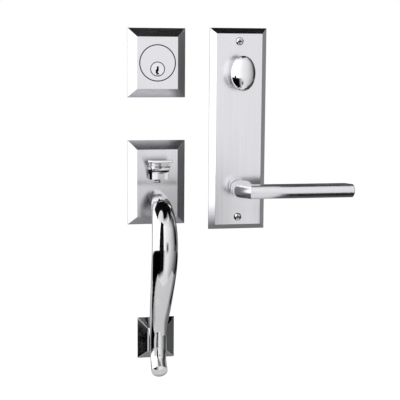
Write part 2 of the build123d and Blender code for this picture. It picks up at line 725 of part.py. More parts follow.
def make_lift_hub():
    flange = rod(0, 0, HUB_RADIUS, -HUB_FRONT - HUB_FLANGE, -HUB_FRONT)
    arm_height = HUB_ARM_TOP - HUB_ARM_LOW
    arm_z = (HUB_ARM_TOP + HUB_ARM_LOW) / 2
    arm = block(HUB_ARM_REACH / 2, arm_z, HUB_ARM_REACH, arm_height, -HUB_FRONT - HUB_FLANGE, -HUB_FRONT)
    web_back = BRACKET_WEB_START + BRACKET_WEB
    clip_front = web_back + END_GAP
    clip_back = clip_front + HUB_CLIP_THICKNESS
    journal = rod(0, 0, HUB_JOURNAL_RADIUS, -clip_back - 1.2, -HUB_FRONT - 1)
    groove = ring(0, 0, HUB_JOURNAL_RADIUS + 1, HUB_GROOVE_RADIUS, -clip_back, -clip_front)
    hub = flange + arm + journal - groove
    hole = SPINDLE_SQUARE + 2 * SPINDLE_GAP
    return hub - block(0, 0, hole, hole, -clip_back - 2, -HUB_FRONT + 1)


def make_hub_clip():
    web_back = BRACKET_WEB_START + BRACKET_WEB
    front = web_back + END_GAP
    clip = ring(0, 0, HUB_CLIP_RADIUS, HUB_GROOVE_RADIUS, -front - HUB_CLIP_THICKNESS, -front)
    return clip - block(0, -HUB_CLIP_RADIUS, HUB_CLIP_MOUTH, HUB_CLIP_RADIUS, -front - 2, -front + 1)


def make_latch_spindle():
    bar = block(0, 0, SPINDLE_SQUARE, SPINDLE_SQUARE, -LATCH_SPINDLE_BACK, -HUB_FRONT)
    ends = bar.faces().sort_by(Axis.Y)[-1].edges()
    return chamfer(ends, 0.8)


def make_grip_posts():
    floor = ROSE_DEPTH - ROSE_FACE
    posts = []
    for x in (-GRIP_POST_X, GRIP_POST_X):
        front = floor + GRIP_POST_SEAT
        posts.append(threaded_post(x, GRIP_POST_Z, GRIP_POST_RADIUS, front, GRIP_POST_BACK))
    return as_parts(posts)


def make_foot_rose():
    foot = bevelled_shell(0, FOOT_Z, FOOT_WIDTH, FOOT_HEIGHT, FOOT_DEPTH, FOOT_BEVEL, FOOT_EDGE,
                          FOOT_FACE, FOOT_RIM)
    return foot - rod(0, FOOT_Z, INSERT_RADIUS, 0, FOOT_DEPTH + 1)


def make_foot_insert():
    floor = FOOT_DEPTH - FOOT_FACE
    sleeve = rod(0, FOOT_Z, INSERT_RADIUS, floor, INSERT_REACH)
    shoulder = rod(0, FOOT_Z, INSERT_SHOULDER_RADIUS, floor - INSERT_SHOULDER, floor)
    sleeve = sleeve + shoulder
    return sleeve - rod(0, FOOT_Z, INSERT_THREAD_RADIUS, 0, INSERT_REACH - 3.0)


# Interior trim

def plate_screw_heights():
    return (PLATE_Z + PLATE_SCREW_OFFSET, PLATE_Z - PLATE_SCREW_OFFSET)


def through_bolt_places():
    # Bolt centres over the posts of the two outside trims
    drop = GRIP_POST_Z
    return [
        (INTERIOR_X - CYLINDER_POST_X, THUMBTURN_Z),
        (INTERIOR_X + CYLINDER_POST_X, THUMBTURN_Z),
        (INTERIOR_X - GRIP_POST_X, LEVER_Z + drop),
        (INTERIOR_X + GRIP_POST_X, LEVER_Z + drop),
    ]


def make_interior_plate():
    plate = bevelled_shell(INTERIOR_X, PLATE_Z, TRIM_WIDTH, PLATE_HEIGHT, PLATE_DEPTH,
                           PLATE_BEVEL, PLATE_EDGE, PLATE_FACE, PLATE_RIM)
    for z in plate_screw_heights():
        plate = plate - rod(INTERIOR_X, z, SCREW_SHANK_RADIUS + SEAT_GAP, 0, PLATE_DEPTH + 1)
        sink = PLATE_DEPTH - SCREW_CONE
        plate = plate - cone(INTERIOR_X, z, SCREW_SHANK_RADIUS, SCREW_HEAD_RADIUS, sink, PLATE_DEPTH)
    plate = plate - rod(INTERIOR_X, THUMBTURN_Z, TURN_STEM_RADIUS + RUNNING_GAP, 0, PLATE_DEPTH + 1)
    hole = LEVER_NECK_RADIUS + SEAT_GAP
    plate = plate - rod(INTERIOR_X, LEVER_Z, hole, 0, PLATE_DEPTH + 1)
    return plate - rod(INTERIOR_X, LEVER_Z, BUSHING_RADIUS, 0, PLATE_DEPTH - PLATE_LIP)


def make_plate_screws():
    screws = []
    for z in plate_screw_heights():
        sink = PLATE_DEPTH - SCREW_CONE
        head = cone(INTERIOR_X, z, SCREW_SHANK_RADIUS, SCREW_HEAD_RADIUS, sink, PLATE_DEPTH)
        head = head + dome(Plane.XZ.offset(PLATE_DEPTH) * Pos(INTERIOR_X, z), SCREW_HEAD_RADIUS, SCREW_HEAD_RISE)
        floor = PLATE_DEPTH + SCREW_HEAD_RISE - SCREW_RECESS_DEPTH
        for turn in (0, 90):
            arm = Box(SCREW_RECESS_LENGTH, SCREW_RECESS_WIDTH, 2 * SCREW_RECESS_DEPTH, align=FRONTWARD)
            head = head - at(INTERIOR_X, z, floor) * Rot(0, 0, turn) * arm
        point_top = -SCREW_BACK + SCREW_POINT
        shank = rod(INTERIOR_X, z, SCREW_SHANK_RADIUS, -SCREW_SHOULDER, sink + 0.2)
        thread = rod(INTERIOR_X, z, SCREW_THREAD_RADIUS, point_top, -SCREW_SHOULDER)
        point = cone(INTERIOR_X, z, 0.4, SCREW_THREAD_RADIUS, -SCREW_BACK, point_top)
        screws.append(head + shank + thread + point)
    return as_parts(screws)


def make_interior_backplate():
    plate = block(INTERIOR_X, PLATE_Z, BACKPLATE_WIDTH, BACKPLATE_HEIGHT, 0, BACKPLATE_THICKNESS)
    plate = fillet(plate.edges().filter_by(Axis.Y), BACKPLATE_CORNER)
    for z in plate_screw_heights():
        plate = plate - rod(INTERIOR_X, z, SCREW_SHANK_RADIUS, -1, BACKPLATE_THICKNESS + 1)
    for x, z in through_bolt_places():
        plate = plate - rod(x, z, BOLT_RADIUS, -1, BACKPLATE_THICKNESS + 1)
    plate = plate - rod(INTERIOR_X, THUMBTURN_Z, TURN_CLIP_RADIUS + 0.6, -1, BACKPLATE_THICKNESS + 1)
    return plate - rod(INTERIOR_X, LEVER_Z, LEVER_JOURNAL_RADIUS + 0.8, -1, BACKPLATE_THICKNESS + 1)


def make_through_bolts():
    # The plain shank passes the mounting plate and the spring housing
    seat = BACKPLATE_THICKNESS
    shoulder = -HOUSING_LENGTH - BOLT_SHOULDER_MARGIN
    bolts = []
    for x, z in through_bolt_places():
        high = seat + BOLT_HEAD_LENGTH
        head = rod(x, z, BOLT_HEAD_RADIUS, seat, high)
        rim = head.edges().filter_by(GeomType.CIRCLE).sort_by(Axis.Y)[0]
        head = fillet(rim, BOLT_HEAD_ROUNDING)
        slot_low = high - BOLT_SLOT_DEPTH
        head = head - block(x, z, BOLT_SLOT_WIDTH, 2 * BOLT_HEAD_RADIUS + 1, slot_low, high + 1)
        shank = rod(x, z, BOLT_RADIUS, shoulder, seat)
        thread = rod(x, z, BOLT_THREAD_RADIUS, -BOLT_BACK, shoulder)
        bolts.append(head + shank + thread)
    return as_parts(bolts)


def make_thumbturn():
    egg = Sphere(TURN_HALF_WIDTH)
    across = TURN_HALF_THICKNESS / TURN_HALF_WIDTH
    tall = TURN_HALF_HEIGHT / TURN_HALF_WIDTH
    egg = scale(egg, by=(1.0, across, tall))
    knob = Pos(INTERIOR_X, -TURN_CENTRE_DEPTH, THUMBTURN_Z) * egg
    stem = rod(INTERIOR_X, THUMBTURN_Z, TURN_STEM_RADIUS, -1.0, TURN_CENTRE_DEPTH)
    collar_low = PLATE_DEPTH + TURN_WASHER_THICKNESS
    collar = rod(INTERIOR_X, THUMBTURN_Z, TURN_COLLAR_RADIUS, collar_low, collar_low + TURN_COLLAR_LENGTH)
    turn = knob + stem + collar
    clip_high = PLATE_DEPTH - PLATE_FACE - END_GAP
    clip_low = clip_high - TURN_CLIP_THICKNESS
    turn = turn - ring(INTERIOR_X, THUMBTURN_Z, TURN_STEM_RADIUS + 1, TURN_GROOVE_RADIUS, clip_low, clip_high)
    slot = block(INTERIOR_X, THUMBTURN_Z, TURN_SLOT_WIDTH, TURN_SLOT_HEIGHT, -2.0, TURN_SLOT_DEPTH)
    return turn - slot


def make_turn_washer():
    low = PLATE_DEPTH
    high = PLATE_DEPTH + TURN_WASHER_THICKNESS
    return ring(INTERIOR_X, THUMBTURN_Z, TURN_COLLAR_RADIUS, TURN_STEM_RADIUS, low, high)


def make_turn_clip():
    high = PLATE_DEPTH - PLATE_FACE - END_GAP
    low = high - TURN_CLIP_THICKNESS
    clip = ring(INTERIOR_X, THUMBTURN_Z, TURN_CLIP_RADIUS, TURN_GROOVE_RADIUS, low, high)
    mouth_z = THUMBTURN_Z - TURN_CLIP_RADIUS
    mouth = block(INTERIOR_X, mouth_z, TURN_CLIP_MOUTH, TURN_CLIP_RADIUS, low - 1, high + 1)
    return clip - mouth


def arm_section(x):
    # Flat above, below and behind, with a bulging front and soft corners
    place = Plane(origin=(x, -LEVER_ARM_FRONT, LEVER_Z), x_dir=(0, 1, 0), z_dir=(1, 0, 0))
    half = LEVER_ARM_TALL / 2
    deep = LEVER_ARM_DEEP
    bulge = LEVER_ARM_BULGE
    top = Line((deep, half), (bulge, half))
    front = ThreePointArc((bulge, half), (0, 0), (bulge, -half))
    base = Line((bulge, -half), (deep, -half))
    back = Line((deep, -half), (deep, half))
    outline = make_face([top, front, base, back])
    return place * fillet(outline.vertices(), LEVER_ARM_ROUNDING)


def lever_bar():
    # Straight arm and a short slanting leg with one section, mitred where they meet
    corner_x = INTERIOR_X + LEVER_CORNER_X
    turn = math.radians(LEVER_CUT_ANGLE)
    leg_way = Vector(-math.sin(turn), math.cos(turn), 0)
    mitre_way = (leg_way + Vector(1, 0, 0)).normalized()
    across = Vector(mitre_way.Y, -mitre_way.X, 0)
    mitre = Plane(origin=(corner_x, -LEVER_ARM_FRONT, LEVER_Z), x_dir=mitre_way, z_dir=across)
    reach = 2 * LEVER_ARM_DEEP
    arm = extrude(arm_section(corner_x - reach), amount=LEVER_END_X - LEVER_CORNER_X + reach)
    side = 6 * LEVER_ARM_DEEP
    arm = arm - mitre * Box(side, side, side, align=(Align.CENTER, Align.CENTER, Align.MAX))
    joint = arm.faces().sort_by(Axis.X)[0]
    leg = extrude(joint, amount=2.4 * LEVER_ARM_DEEP, dir=leg_way)
    end = Plane(origin=(INTERIOR_X + LEVER_END_X, -LEVER_ARM_FRONT, LEVER_Z))
    slab = Box(side, side, side, align=(Align.MIN, Align.CENTER, Align.CENTER))
    arm = arm - end * Rot(0, 0, LEVER_END_ANGLE) * slab
    tip = arm.faces().sort_by(Axis.X)[-1]
    return fillet(tip.edges(), LEVER_END_ROUNDING), leg


def make_lever():
    x = INTERIOR_X
    journal = rod(x, LEVER_Z, LEVER_JOURNAL_RADIUS, LEVER_JOURNAL_BACK, LEVER_JOURNAL_FRONT + 1)
    neck = cone(x, LEVER_Z, LEVER_NECK_RADIUS, LEVER_HEAD_RADIUS, LEVER_JOURNAL_FRONT, LEVER_HEAD_DEPTH)
    arm, leg = lever_bar()
    # The leg stays inside the round of the head on its outer side
    low = LEVER_JOURNAL_FRONT + LEVER_NECK_RADIUS
    high = LEVER_ARM_FRONT + 1
    size = 4 * LEVER_ARM_TALL
    keep = rod(x, LEVER_Z, LEVER_HEAD_RADIUS - LEVER_HEAD_RIM, low, high)
    keep = keep + block(x + size / 2, LEVER_Z, size, size, LEVER_HEAD_DEPTH - LEVER_HEAD_RADIUS, high)
    lever = journal + neck + (leg & keep) + arm
    groove_high = BUSHING_BACK - END_GAP
    groove_low = groove_high - LEVER_CLIP_THICKNESS
    groove = ring(x, LEVER_Z, LEVER_JOURNAL_RADIUS + 0.5, LEVER_GROOVE_RADIUS, groove_low, groove_high)
    lever = lever - groove
    lever = lever - block(x, LEVER_Z, SPINDLE_SQUARE, SPINDLE_SQUARE, 0, LEVER_SPINDLE_FRONT)
    screw_low = LEVER_Z - LEVER_HEAD_RADIUS - 2
    return lever - upright_bar(x, SET_SCREW_DEPTH, screw_low, LEVER_Z, SET_SCREW_RADIUS)


def make_lever_set_screw():
    top = LEVER_Z - SPINDLE_SQUARE / 2
    screw = upright_bar(INTERIOR_X, SET_SCREW_DEPTH, top - SET_SCREW_LENGTH, top, SET_SCREW_RADIUS)
    place = Pos(INTERIOR_X, -SET_SCREW_DEPTH, top - SET_SCREW_LENGTH)
    socket = extrude(place * RegularPolygon(1.1, 6), amount=2.0)
    return screw - socket


def make_lever_spindle():
    bar = block(INTERIOR_X, LEVER_Z, SPINDLE_SQUARE, SPINDLE_SQUARE, -LEVER_SPINDLE_BACK, LEVER_SPINDLE_FRONT)
    ends = bar.faces().sort_by(Axis.Y)[-1].edges()
    return chamfer(ends, 0.8)


def make_lever_bushing():
    bore = LEVER_JOURNAL_RADIUS + RUNNING_GAP
    return ring(INTERIOR_X, LEVER_Z, BUSHING_RADIUS, bore, BUSHING_BACK, PLATE_DEPTH - PLATE_LIP)


def make_lever_clip():
    high = BUSHING_BACK - END_GAP
    low = high - LEVER_CLIP_THICKNESS
    clip = ring(INTERIOR_X, LEVER_Z, LEVER_CLIP_RADIUS, LEVER_GROOVE_RADIUS, low, high)
    mouth_z = LEVER_Z - LEVER_CLIP_RADIUS
    mouth = block(INTERIOR_X, mouth_z, LEVER_CLIP_MOUTH, LEVER_CLIP_RADIUS, low - 1, high + 1)
    return clip - mouth


def make_spring_housing():
    # Shallow cup behind the mounting plate, with two stop lugs inside
    x = INTERIOR_X
    cup = rod(x, LEVER_Z, HOUSING_RADIUS, -HOUSING_LENGTH, 0)
    inner = HOUSING_RADIUS - HOUSING_WALL
    cup = cup - rod(x, LEVER_Z, inner, -HOUSING_LENGTH + HOUSING_WALL, 1)
    bore = RETURN_JOURNAL_RADIUS + RUNNING_GAP
    cup = cup - rod(x, LEVER_Z, bore, -HOUSING_LENGTH - 1, 1)
    for side in (-1, 1):
        bolt_x = x + side * GRIP_POST_X
        cup = cup - rod(bolt_x, LEVER_Z + GRIP_POST_Z, BOLT_RADIUS + SEAT_GAP, -HOUSING_LENGTH - 1, 1)
    lug_z = LEVER_Z + inner - STOP_LUG_REACH / 2
    lug = block(x, lug_z, STOP_LUG_WIDTH, STOP_LUG_REACH + 1, -HOUSING_LENGTH + HOUSING_WALL, 0)
    return cup + (lug & rod(x, LEVER_Z, inner + 0.5, -HOUSING_LENGTH, 0))


def make_spring_hub():
    x = INTERIOR_X
    disc_back = -HOUSING_LENGTH + HOUSING_WALL + END_GAP
    disc = rod(x, LEVER_Z, RETURN_HUB_RADIUS, disc_back, -0.6)
    journal = rod(x, LEVER_Z, RETURN_JOURNAL_RADIUS, -HOUSING_LENGTH - 0.5, disc_back + 1)
    arm_z = LEVER_Z - RETURN_ARM_REACH / 2
    arm_front = disc_back + RETURN_ARM_THICKNESS
    arm = block(x, arm_z, RETURN_ARM_WIDTH, RETURN_ARM_REACH, disc_back, arm_front)
    hub = disc + journal + arm
    hole = SPINDLE_SQUARE + 2 * SPINDLE_GAP
    return hub - block(x, LEVER_Z, hole, hole, -HOUSING_LENGTH - 2, 1)


def make_return_spring():
    # Wide torsion spring around the hub, in front of its arm
    wire = RETURN_WIRE_RADIUS
    pitch = 2 * wire + 0.15
    arm_front = -HOUSING_LENGTH + HOUSING_WALL + END_GAP + RETURN_ARM_THICKNESS
    start = arm_front + wire + END_GAP
    coil = Helix(pitch=pitch, height=RETURN_TURNS * pitch, radius=RETURN_COIL_RADIUS)
    coil = at(INTERIOR_X, LEVER_Z, start) * coil
    tube = sweep(Plane(origin=coil @ 0, z_dir=coil % 0) * Circle(wire), path=coil)
    return tube


PARTS = {
    "deadbolt_rose": make_deadbolt_rose,
    "cylinder_body": make_cylinder_body,
    "key_plug": make_key_plug,
    "key_pins": make_key_pins,
    "driver_pins": make_driver_pins,
    "pin_springs": make_pin_springs,
    "chamber_cap": make_chamber_cap,
    "plug_cap": make_plug_cap,
    "tailpiece": make_tailpiece,
    "cylinder_posts": make_cylinder_posts,
    "grip_rose": make_grip_rose,
    "grip_handle": make_grip_handle,
    "grip_root_washer": make_grip_root_washer,
    "grip_root_screw": make_grip_root_screw,
    "thumbpiece": make_thumbpiece,
    "thumb_bracket": make_thumb_bracket,
    "bracket_screws": make_bracket_screws,
    "thumb_pivot_pin": make_thumb_pivot_pin,
    "thumb_spring": make_thumb_spring,
    "lift_hub": make_lift_hub,
    "hub_clip": make_hub_clip,
    "latch_spindle": make_latch_spindle,
    "grip_posts": make_grip_posts,
    "foot_rose": make_foot_rose,
    "foot_insert": make_foot_insert,
    "interior_plate": make_interior_plate,
    "plate_screws": make_plate_screws,
    "interior_backplate": make_interior_backplate,
    "through_bolts": make_through_bolts,
    "thumbturn": make_thumbturn,
    "turn_washer": make_turn_washer,
    "turn_clip": make_turn_clip,
    "lever": make_lever,
    "lever_set_screw": make_lever_set_screw,
    "lever_spindle": make_lever_spindle,
    "lever_bushing": make_lever_bushing,
    "lever_clip": make_lever_clip,
    "spring_housing": make_spring_housing,
    "spring_hub": make_spring_hub,
    "return_spring": make_return_spring,
}


def main():
    os.makedirs("parts", exist_ok=True)
    for name, make in PARTS.items():
        shape = make()
        export_step(shape, "parts/" + name + ".step")
        print(name, len(shape.solids()), round(shape.volume, 1), flush=True)


if __name__ == "__main__":
    main()
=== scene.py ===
import math

import bmesh
import bpy
from bpy.props import FloatProperty, FloatVectorProperty, PointerProperty
from mathutils import Matrix, Vector


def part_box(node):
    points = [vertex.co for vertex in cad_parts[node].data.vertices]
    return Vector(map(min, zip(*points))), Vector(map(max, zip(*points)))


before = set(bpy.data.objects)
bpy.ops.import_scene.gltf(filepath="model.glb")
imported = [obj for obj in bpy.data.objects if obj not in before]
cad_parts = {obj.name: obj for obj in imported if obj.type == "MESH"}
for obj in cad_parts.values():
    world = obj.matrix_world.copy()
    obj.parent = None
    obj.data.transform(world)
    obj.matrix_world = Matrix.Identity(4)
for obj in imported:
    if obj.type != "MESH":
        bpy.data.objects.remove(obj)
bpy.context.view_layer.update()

bl_info = {
    "name": "Entry Door Handleset",
    "version": (1, 0, 0),
    "blender": (4, 5, 0),
    "location": "3D View > Sidebar > Handleset",
    "description": "Finishes, fine detail and studio for an entry door handleset",
    "category": "Object",
}

# Colours on the metals: dust; painted shade with some grime in crevices; painted shade lines at
# seats; painted black shade in recesses; and white
DUST = (0.55, 0.53, 0.5, 1.0)
SATIN_SHADE_AND_GRIME = (0.01, 0.01, 0.012, 1.0)
SATIN_SEAT_SHADE = (0.03, 0.03, 0.035, 1.0)
POLISHED_SHADE_AND_GRIME = (0.008, 0.008, 0.009, 1.0)
POLISHED_SEAT_SHADE = (0.02, 0.02, 0.024, 1.0)
RECESS_SHADE = (0.004, 0.004, 0.005, 1.0)
WHITE = (1.0, 1.0, 1.0, 1.0)

# How often the grain of the brushing changes in a metre, along x, y and z
ROSE_STROKES = (2600.0, 2600.0, 55.0)
PLATE_STROKES = (2500.0, 2500.0, 45.0)
ARM_STROKES = (60.0, 2400.0, 2400.0)
CYLINDER_PITCH = 0.00045
NECK_PITCH = 0.0004

# Where the strokes of the lever's arm begin, from the neck's axis
ARM_START, ARM_FULL = 0.0042, 0.0052

# Painted shade lines round the seats of round pieces, for the dark of their gaps and chamfers: how
# far out from the rim, and how wide
BORE_LINE = (0.0003, 0.0003)
HEAD_LINE = (-0.0002, 0.0006)
PLUG_SEAT_LINE = (0.0002, 0.0005)
PLUG_RIM_LINE = (-0.0001, 0.0003)
SCREW_LINE = (-0.0002, 0.0005)

# Blocks of painted black shade over the mouth of the keyway: across and up from the plug's centre,
# half width and half height
KEYWAY_MOUTH = (
    (0.0, 0.0010, 0.0010, 0.0022),
    (-0.0010, -0.0028, 0.0013, 0.0024),
    (0.0002, -0.0062, 0.0015, 0.0012),
)
KEYWAY_REACH, KEYWAY_FACE = 0.0058, 0.0002

# Cross of the plate screws, painted black as shade: reach, depth of its edge below the crown, half
# width and half length
CROSS_REACH, CROSS_FACE = 0.0028, 0.0007
CROSS_WIDTH, CROSS_LENGTH = 0.0007, 0.0026

# Camera: place in metres, turn in radians and width of its sensor in millimetres
CAMERA_PLACE = (-0.19152, -1.31630, 0.16303)
CAMERA_YAW, CAMERA_PITCH, CAMERA_ROLL = -0.184945, -0.141381, -0.007593
SENSOR_WIDTH = 36.0

# Soft lamps: size and place in metres, and the point that both are aimed at
LEFT_LAMP = ((0.9, 1.2), (-1.3, -0.9, 0.5))
FRONT_LAMP = ((1.4, 0.8), (0.2, -1.4, 1.3))
LAMP_AIM = (0.05, 0.0, 0.0)

# Floor: its corners, its colour under the set, its darker colour behind it as a painted shadow of
# the set, and how far back it changes
FLOOR_CORNERS = ((-0.26, -0.20), (0.35, -0.20), (2.4, 4.0), (-0.26, 4.0))
FLOOR_TONE = (0.85, 0.85, 0.85, 1.0)
FLOOR_SHADOW_TONE = (0.25, 0.25, 0.25, 1.0)
FLOOR_CHANGE = (-0.05, 0.05)
FLOOR_GLOW = 0.85

# Light of the studio walls: display curve, and how much of it polished chrome gives back
DISPLAY_CURVE = 2.2
CHROME_SHARE = 0.82

# Tones of the studio walls by bearing in degrees: 0 is the front, -90 the left and 90 the right
FLOOR_WALLS = (
    (-180, 0.60), (-100, 0.84), (0, 0.84), (60, 0.80), (100, 0.56), (180, 0.50),
)
LOW_WALLS = (
    (-180, 0.60), (-138, 0.76), (-126, 0.03), (-18, 0.03), (4, 0.88), (24, 0.85), (42, 0.74),
    (60, 0.62), (78, 0.44), (98, 0.28), (110, 0.06), (132, 0.05), (142, 0.55), (180, 0.50),
)
LEVEL_WALLS = (
    (-180, 0.06), (-164, 0.20), (-150, 0.50), (-136, 0.92), (-122, 1.05), (-60, 1.10), (-26, 1.05),
    (2, 0.92), (24, 0.86), (42, 0.76), (58, 0.64), (70, 0.44), (80, 0.14), (104, 0.10), (112, 0.50),
    (130, 0.64), (150, 0.45), (166, 0.20), (180, 0.06),
)
UPPER_WALLS = (
    (-180, 0.20), (-152, 0.50), (-138, 0.92), (-122, 1.05), (-60, 1.10), (-24, 1.05), (0, 0.95),
    (40, 0.84), (62, 0.70), (80, 0.42), (100, 0.22), (112, 0.16), (120, 0.06), (138, 0.06),
    (148, 0.70), (180, 0.20),
)
HIGH_WALLS = (
    (-180, 0.03), (-122, 0.03), (-100, 0.92), (0, 0.86), (60, 0.82), (84, 0.62), (100, 0.04),
    (180, 0.03),
)
TOP_WALLS = (
    (-180, 0.03), (-112, 0.03), (-92, 0.88), (-20, 0.84), (4, 0.04), (180, 0.03),
)

# Rise in degrees over which the walls above the low ones take over from those below
WALL_LAYERS = (
    (-14.5, -12.5, LEVEL_WALLS),
    (8.0, 30.0, UPPER_WALLS),
    (46.0, 54.0, HIGH_WALLS),
    (57.0, 67.0, TOP_WALLS),
)
CEILING = (82.0, 87.0, (0.004, 0.004, 0.004, 1.0))

# Foot of the black low wall: shares of the full turn, the rise there, and half its soft edge
LOW_FOOT = (0.153, 0.389, -43.0, -56.0)
LOW_FOOT_EDGE = 3.0

# Heights between which the back of the gap's card goes from dim to full, and its dim share
BACK_FADE = (-0.062, -0.030, 0.06, 1.0)
EDGE_FADE_START = 0.25

# Cards close to the set, seen by the metal alone, that paint dark reflections into it, and bright
# ones where they shine: corners in metres, colour and tones that shine
REFLECTION_CARDS = (
    ("grip_card", (
        (-0.074, -0.16, -0.24), (-0.020, -0.19, -0.24), (-0.020, -0.19, 0.10),
        (-0.068, -0.16, 0.10),
    ), {}),
    ("grip_side_card", (
        (0.055, -0.036, -0.185), (0.055, -0.012, -0.185), (0.055, -0.012, 0.004),
        (0.055, -0.036, 0.004),
    ), {}),
    ("bend_card", (
        (-0.034, -0.042, -0.010), (-0.034, -0.078, -0.010), (-0.016, -0.068, -0.010),
        (-0.006, -0.0645, -0.010), (0.006, -0.0645, -0.010), (0.016, -0.068, -0.010),
        (0.034, -0.090, -0.010), (0.034, -0.042, -0.010), (0.010, -0.048, -0.010),
        (-0.010, -0.048, -0.010),
    ), {}),
    ("grip_end_card", (
        (-0.030, -0.076, -0.238), (-0.062, -0.060, -0.240), (-0.066, -0.054, -0.206),
        (-0.034, -0.078, -0.206),
    ), {"glow": 0.78}),
    ("gap_card", (
        (0.046, 0.012, -0.080), (0.046, -0.016, -0.080), (0.046, -0.016, 0.178),
        (0.046, 0.012, 0.178),
    ), {"level": 0.16, "back": 1.10}),
    ("plate_card", (
        (0.048, -0.50, -0.250), (0.190, -0.50, -0.250), (0.190, -0.50, -0.030),
        (0.048, -0.50, -0.030),
    ), {"level": 0.25, "edge": 0.80}),
    ("lever_front_card", (
        (0.162, -0.125, -0.044), (0.162, -0.100, -0.102), (0.310, -0.100, -0.102),
        (0.310, -0.125, -0.044),
    ), {"level": 0.02}),
    ("lever_foot_card", (
        (0.156, -0.100, -0.102), (0.156, -0.040, -0.112), (0.310, -0.040, -0.112),
        (0.310, -0.100, -0.102),
    ), {"level": 0.14}),
    ("lever_top_card", (
        (0.156, -0.092, 0.045), (0.156, -0.010, 0.045), (0.310, -0.010, 0.045),
        (0.310, -0.092, 0.045),
    ), {"level": 0.10}),
    ("neck_card", (
        (0.062, -0.056, -0.045), (0.062, -0.022, -0.045), (0.062, -0.022, 0.020),
        (0.062, -0.056, 0.020),
    ), {"level": 0.42}),
)


# Settings that a user may change

class HandlesetFinishes(bpy.types.PropertyGroup):
    """Colours and surface values of the metals"""

    satin_color: FloatVectorProperty(
        name="Satin Chrome", description="Colour of the brushed trims and the lever",
        subtype="COLOR", size=3, min=0.0, max=1.0, default=(0.79, 0.79, 0.82),
    )
    satin_roughness: FloatProperty(
        name="Satin Roughness", description="Roughness of the brushed surfaces",
        subtype="FACTOR", min=0.0, max=1.0, default=0.21,
    )
    polished_color: FloatVectorProperty(
        name="Polished Chrome", description="Colour of the grip, foot, tab, turn and screws",
        subtype="COLOR", size=3, min=0.0, max=1.0, default=(0.83, 0.83, 0.85),
    )
    polished_roughness: FloatProperty(
        name="Polished Roughness", description="Roughness of the polished surfaces",
        subtype="FACTOR", min=0.0, max=1.0, default=0.045,
    )
    stroke_depth: FloatProperty(
        name="Brush Stroke Depth", description="Depth of the brush strokes",
        subtype="DISTANCE", unit="LENGTH", min=0.0, max=0.0002, default=0.000012, precision=6,
    )
    plated_color: FloatVectorProperty(
        name="Zinc Plate", description="Colour of the hidden plated steel",
        subtype="COLOR", size=3, min=0.0, max=1.0, default=(0.58, 0.59, 0.58),
    )
    brass_color: FloatVectorProperty(
        name="Brass", description="Colour of the pins in the lock",
        subtype="COLOR", size=3, min=0.0, max=1.0, default=(0.78, 0.58, 0.28),
    )
    bronze_color: FloatVectorProperty(
        name="Oiled Bronze", description="Colour of the lever's dark, oiled bushing",
        subtype="COLOR", size=3, min=0.0, max=1.0, default=(0.045, 0.038, 0.032),
    )
    spring_color: FloatVectorProperty(
        name="Spring Steel", description="Colour of springs and clips",
        subtype="COLOR", size=3, min=0.0, max=1.0, default=(0.36, 0.36, 0.37),
    )
    oxide_color: FloatVectorProperty(
        name="Black Oxide", description="Colour of the set screw",
        subtype="COLOR", size=3, min=0.0, max=1.0, default=(0.05, 0.05, 0.055),
    )
    nylon_color: FloatVectorProperty(
        name="Nylon", description="Colour of the washer under the turn",
        subtype="COLOR", size=3, min=0.0, max=1.0, default=(0.03, 0.03, 0.032),
    )


class HandlesetStudio(bpy.types.PropertyGroup):
    """Camera, lamps and floor"""

    lens: FloatProperty(
        name="Lens", description="Focal length of the camera in millimetres",
        min=20.0, max=300.0, default=99.0,
    )
    floor_drop: FloatProperty(
        name="Floor Drop", description="Height of the floor under the latch axis",
        subtype="DISTANCE", unit="LENGTH", min=0.3, max=2.0, default=0.42,
    )
    left_power: FloatProperty(
        name="Left Lamp", description="Power of the soft lamp on the left",
        subtype="POWER", unit="POWER", min=0.0, max=200.0, default=5.0,
    )
    front_power: FloatProperty(
        name="Front Lamp", description="Power of the soft lamp above the camera",
        subtype="POWER", unit="POWER", min=0.0, max=200.0, default=8.0,
    )


# Shorthands for node trees

def put(tree, kind, inputs=None, **settings):
    """Adds a node, with its settings and its inputs as values or as sockets"""
    node = tree.nodes.new(kind)
    for key, value in settings.items():
        setattr(node, key, value)
    for key, value in (inputs or {}).items():
        if isinstance(value, bpy.types.NodeSocket):
            tree.links.new(value, node.inputs[key])
        else:
            node.inputs[key].default_value = value
    return node


def math_node(tree, operation, first, second=0.0, third=0.0, clamp=False):
    """Result of a sum on values or sockets"""
    node = put(tree, "ShaderNodeMath", {0: first, 1: second, 2: third}, operation=operation)
    node.use_clamp = clamp
    return node.outputs[0]


def vector_node(tree, operation, first, second=(0.0, 0.0, 0.0)):
    """Result of a sum on vectors, as a value where the operation gives one"""
    node = put(tree, "ShaderNodeVectorMath", {0: first, 1: second}, operation=operation)
    gives_value = operation in ("LENGTH", "DOT_PRODUCT")
    return node.outputs["Value" if gives_value else "Vector"]


def span(tree, value, low, high, to_low=0.0, to_high=1.0):
    """Maps a value from one range to another, clamped"""
    node = put(tree, "ShaderNodeMapRange", {
        "Value": value, "From Min": low, "From Max": high, "To Min": to_low, "To Max": to_high,
    })
    return node.outputs["Result"]


def blend_colors(tree, share, first, second):
    """Goes from the first colour to the second as the share goes from 0 to 1"""
    node = put(tree, "ShaderNodeMix", {0: share, 6: first, 7: second}, data_type="RGBA")
    return node.outputs[2]


def blend_values(tree, share, first, second):
    """Goes from the first value to the second as the share goes from 0 to 1"""
    return put(tree, "ShaderNodeMix", {0: share, 2: first, 3: second}).outputs[0]


def split(tree, vector):
    """Outputs X, Y and Z of a vector"""
    return put(tree, "ShaderNodeSeparateXYZ", {0: vector}).outputs


def rgba(color, factor=1.0):
    """Colour with four values, lighter or darker by a factor"""
    return (color[0] * factor, color[1] * factor, color[2] * factor, 1.0)


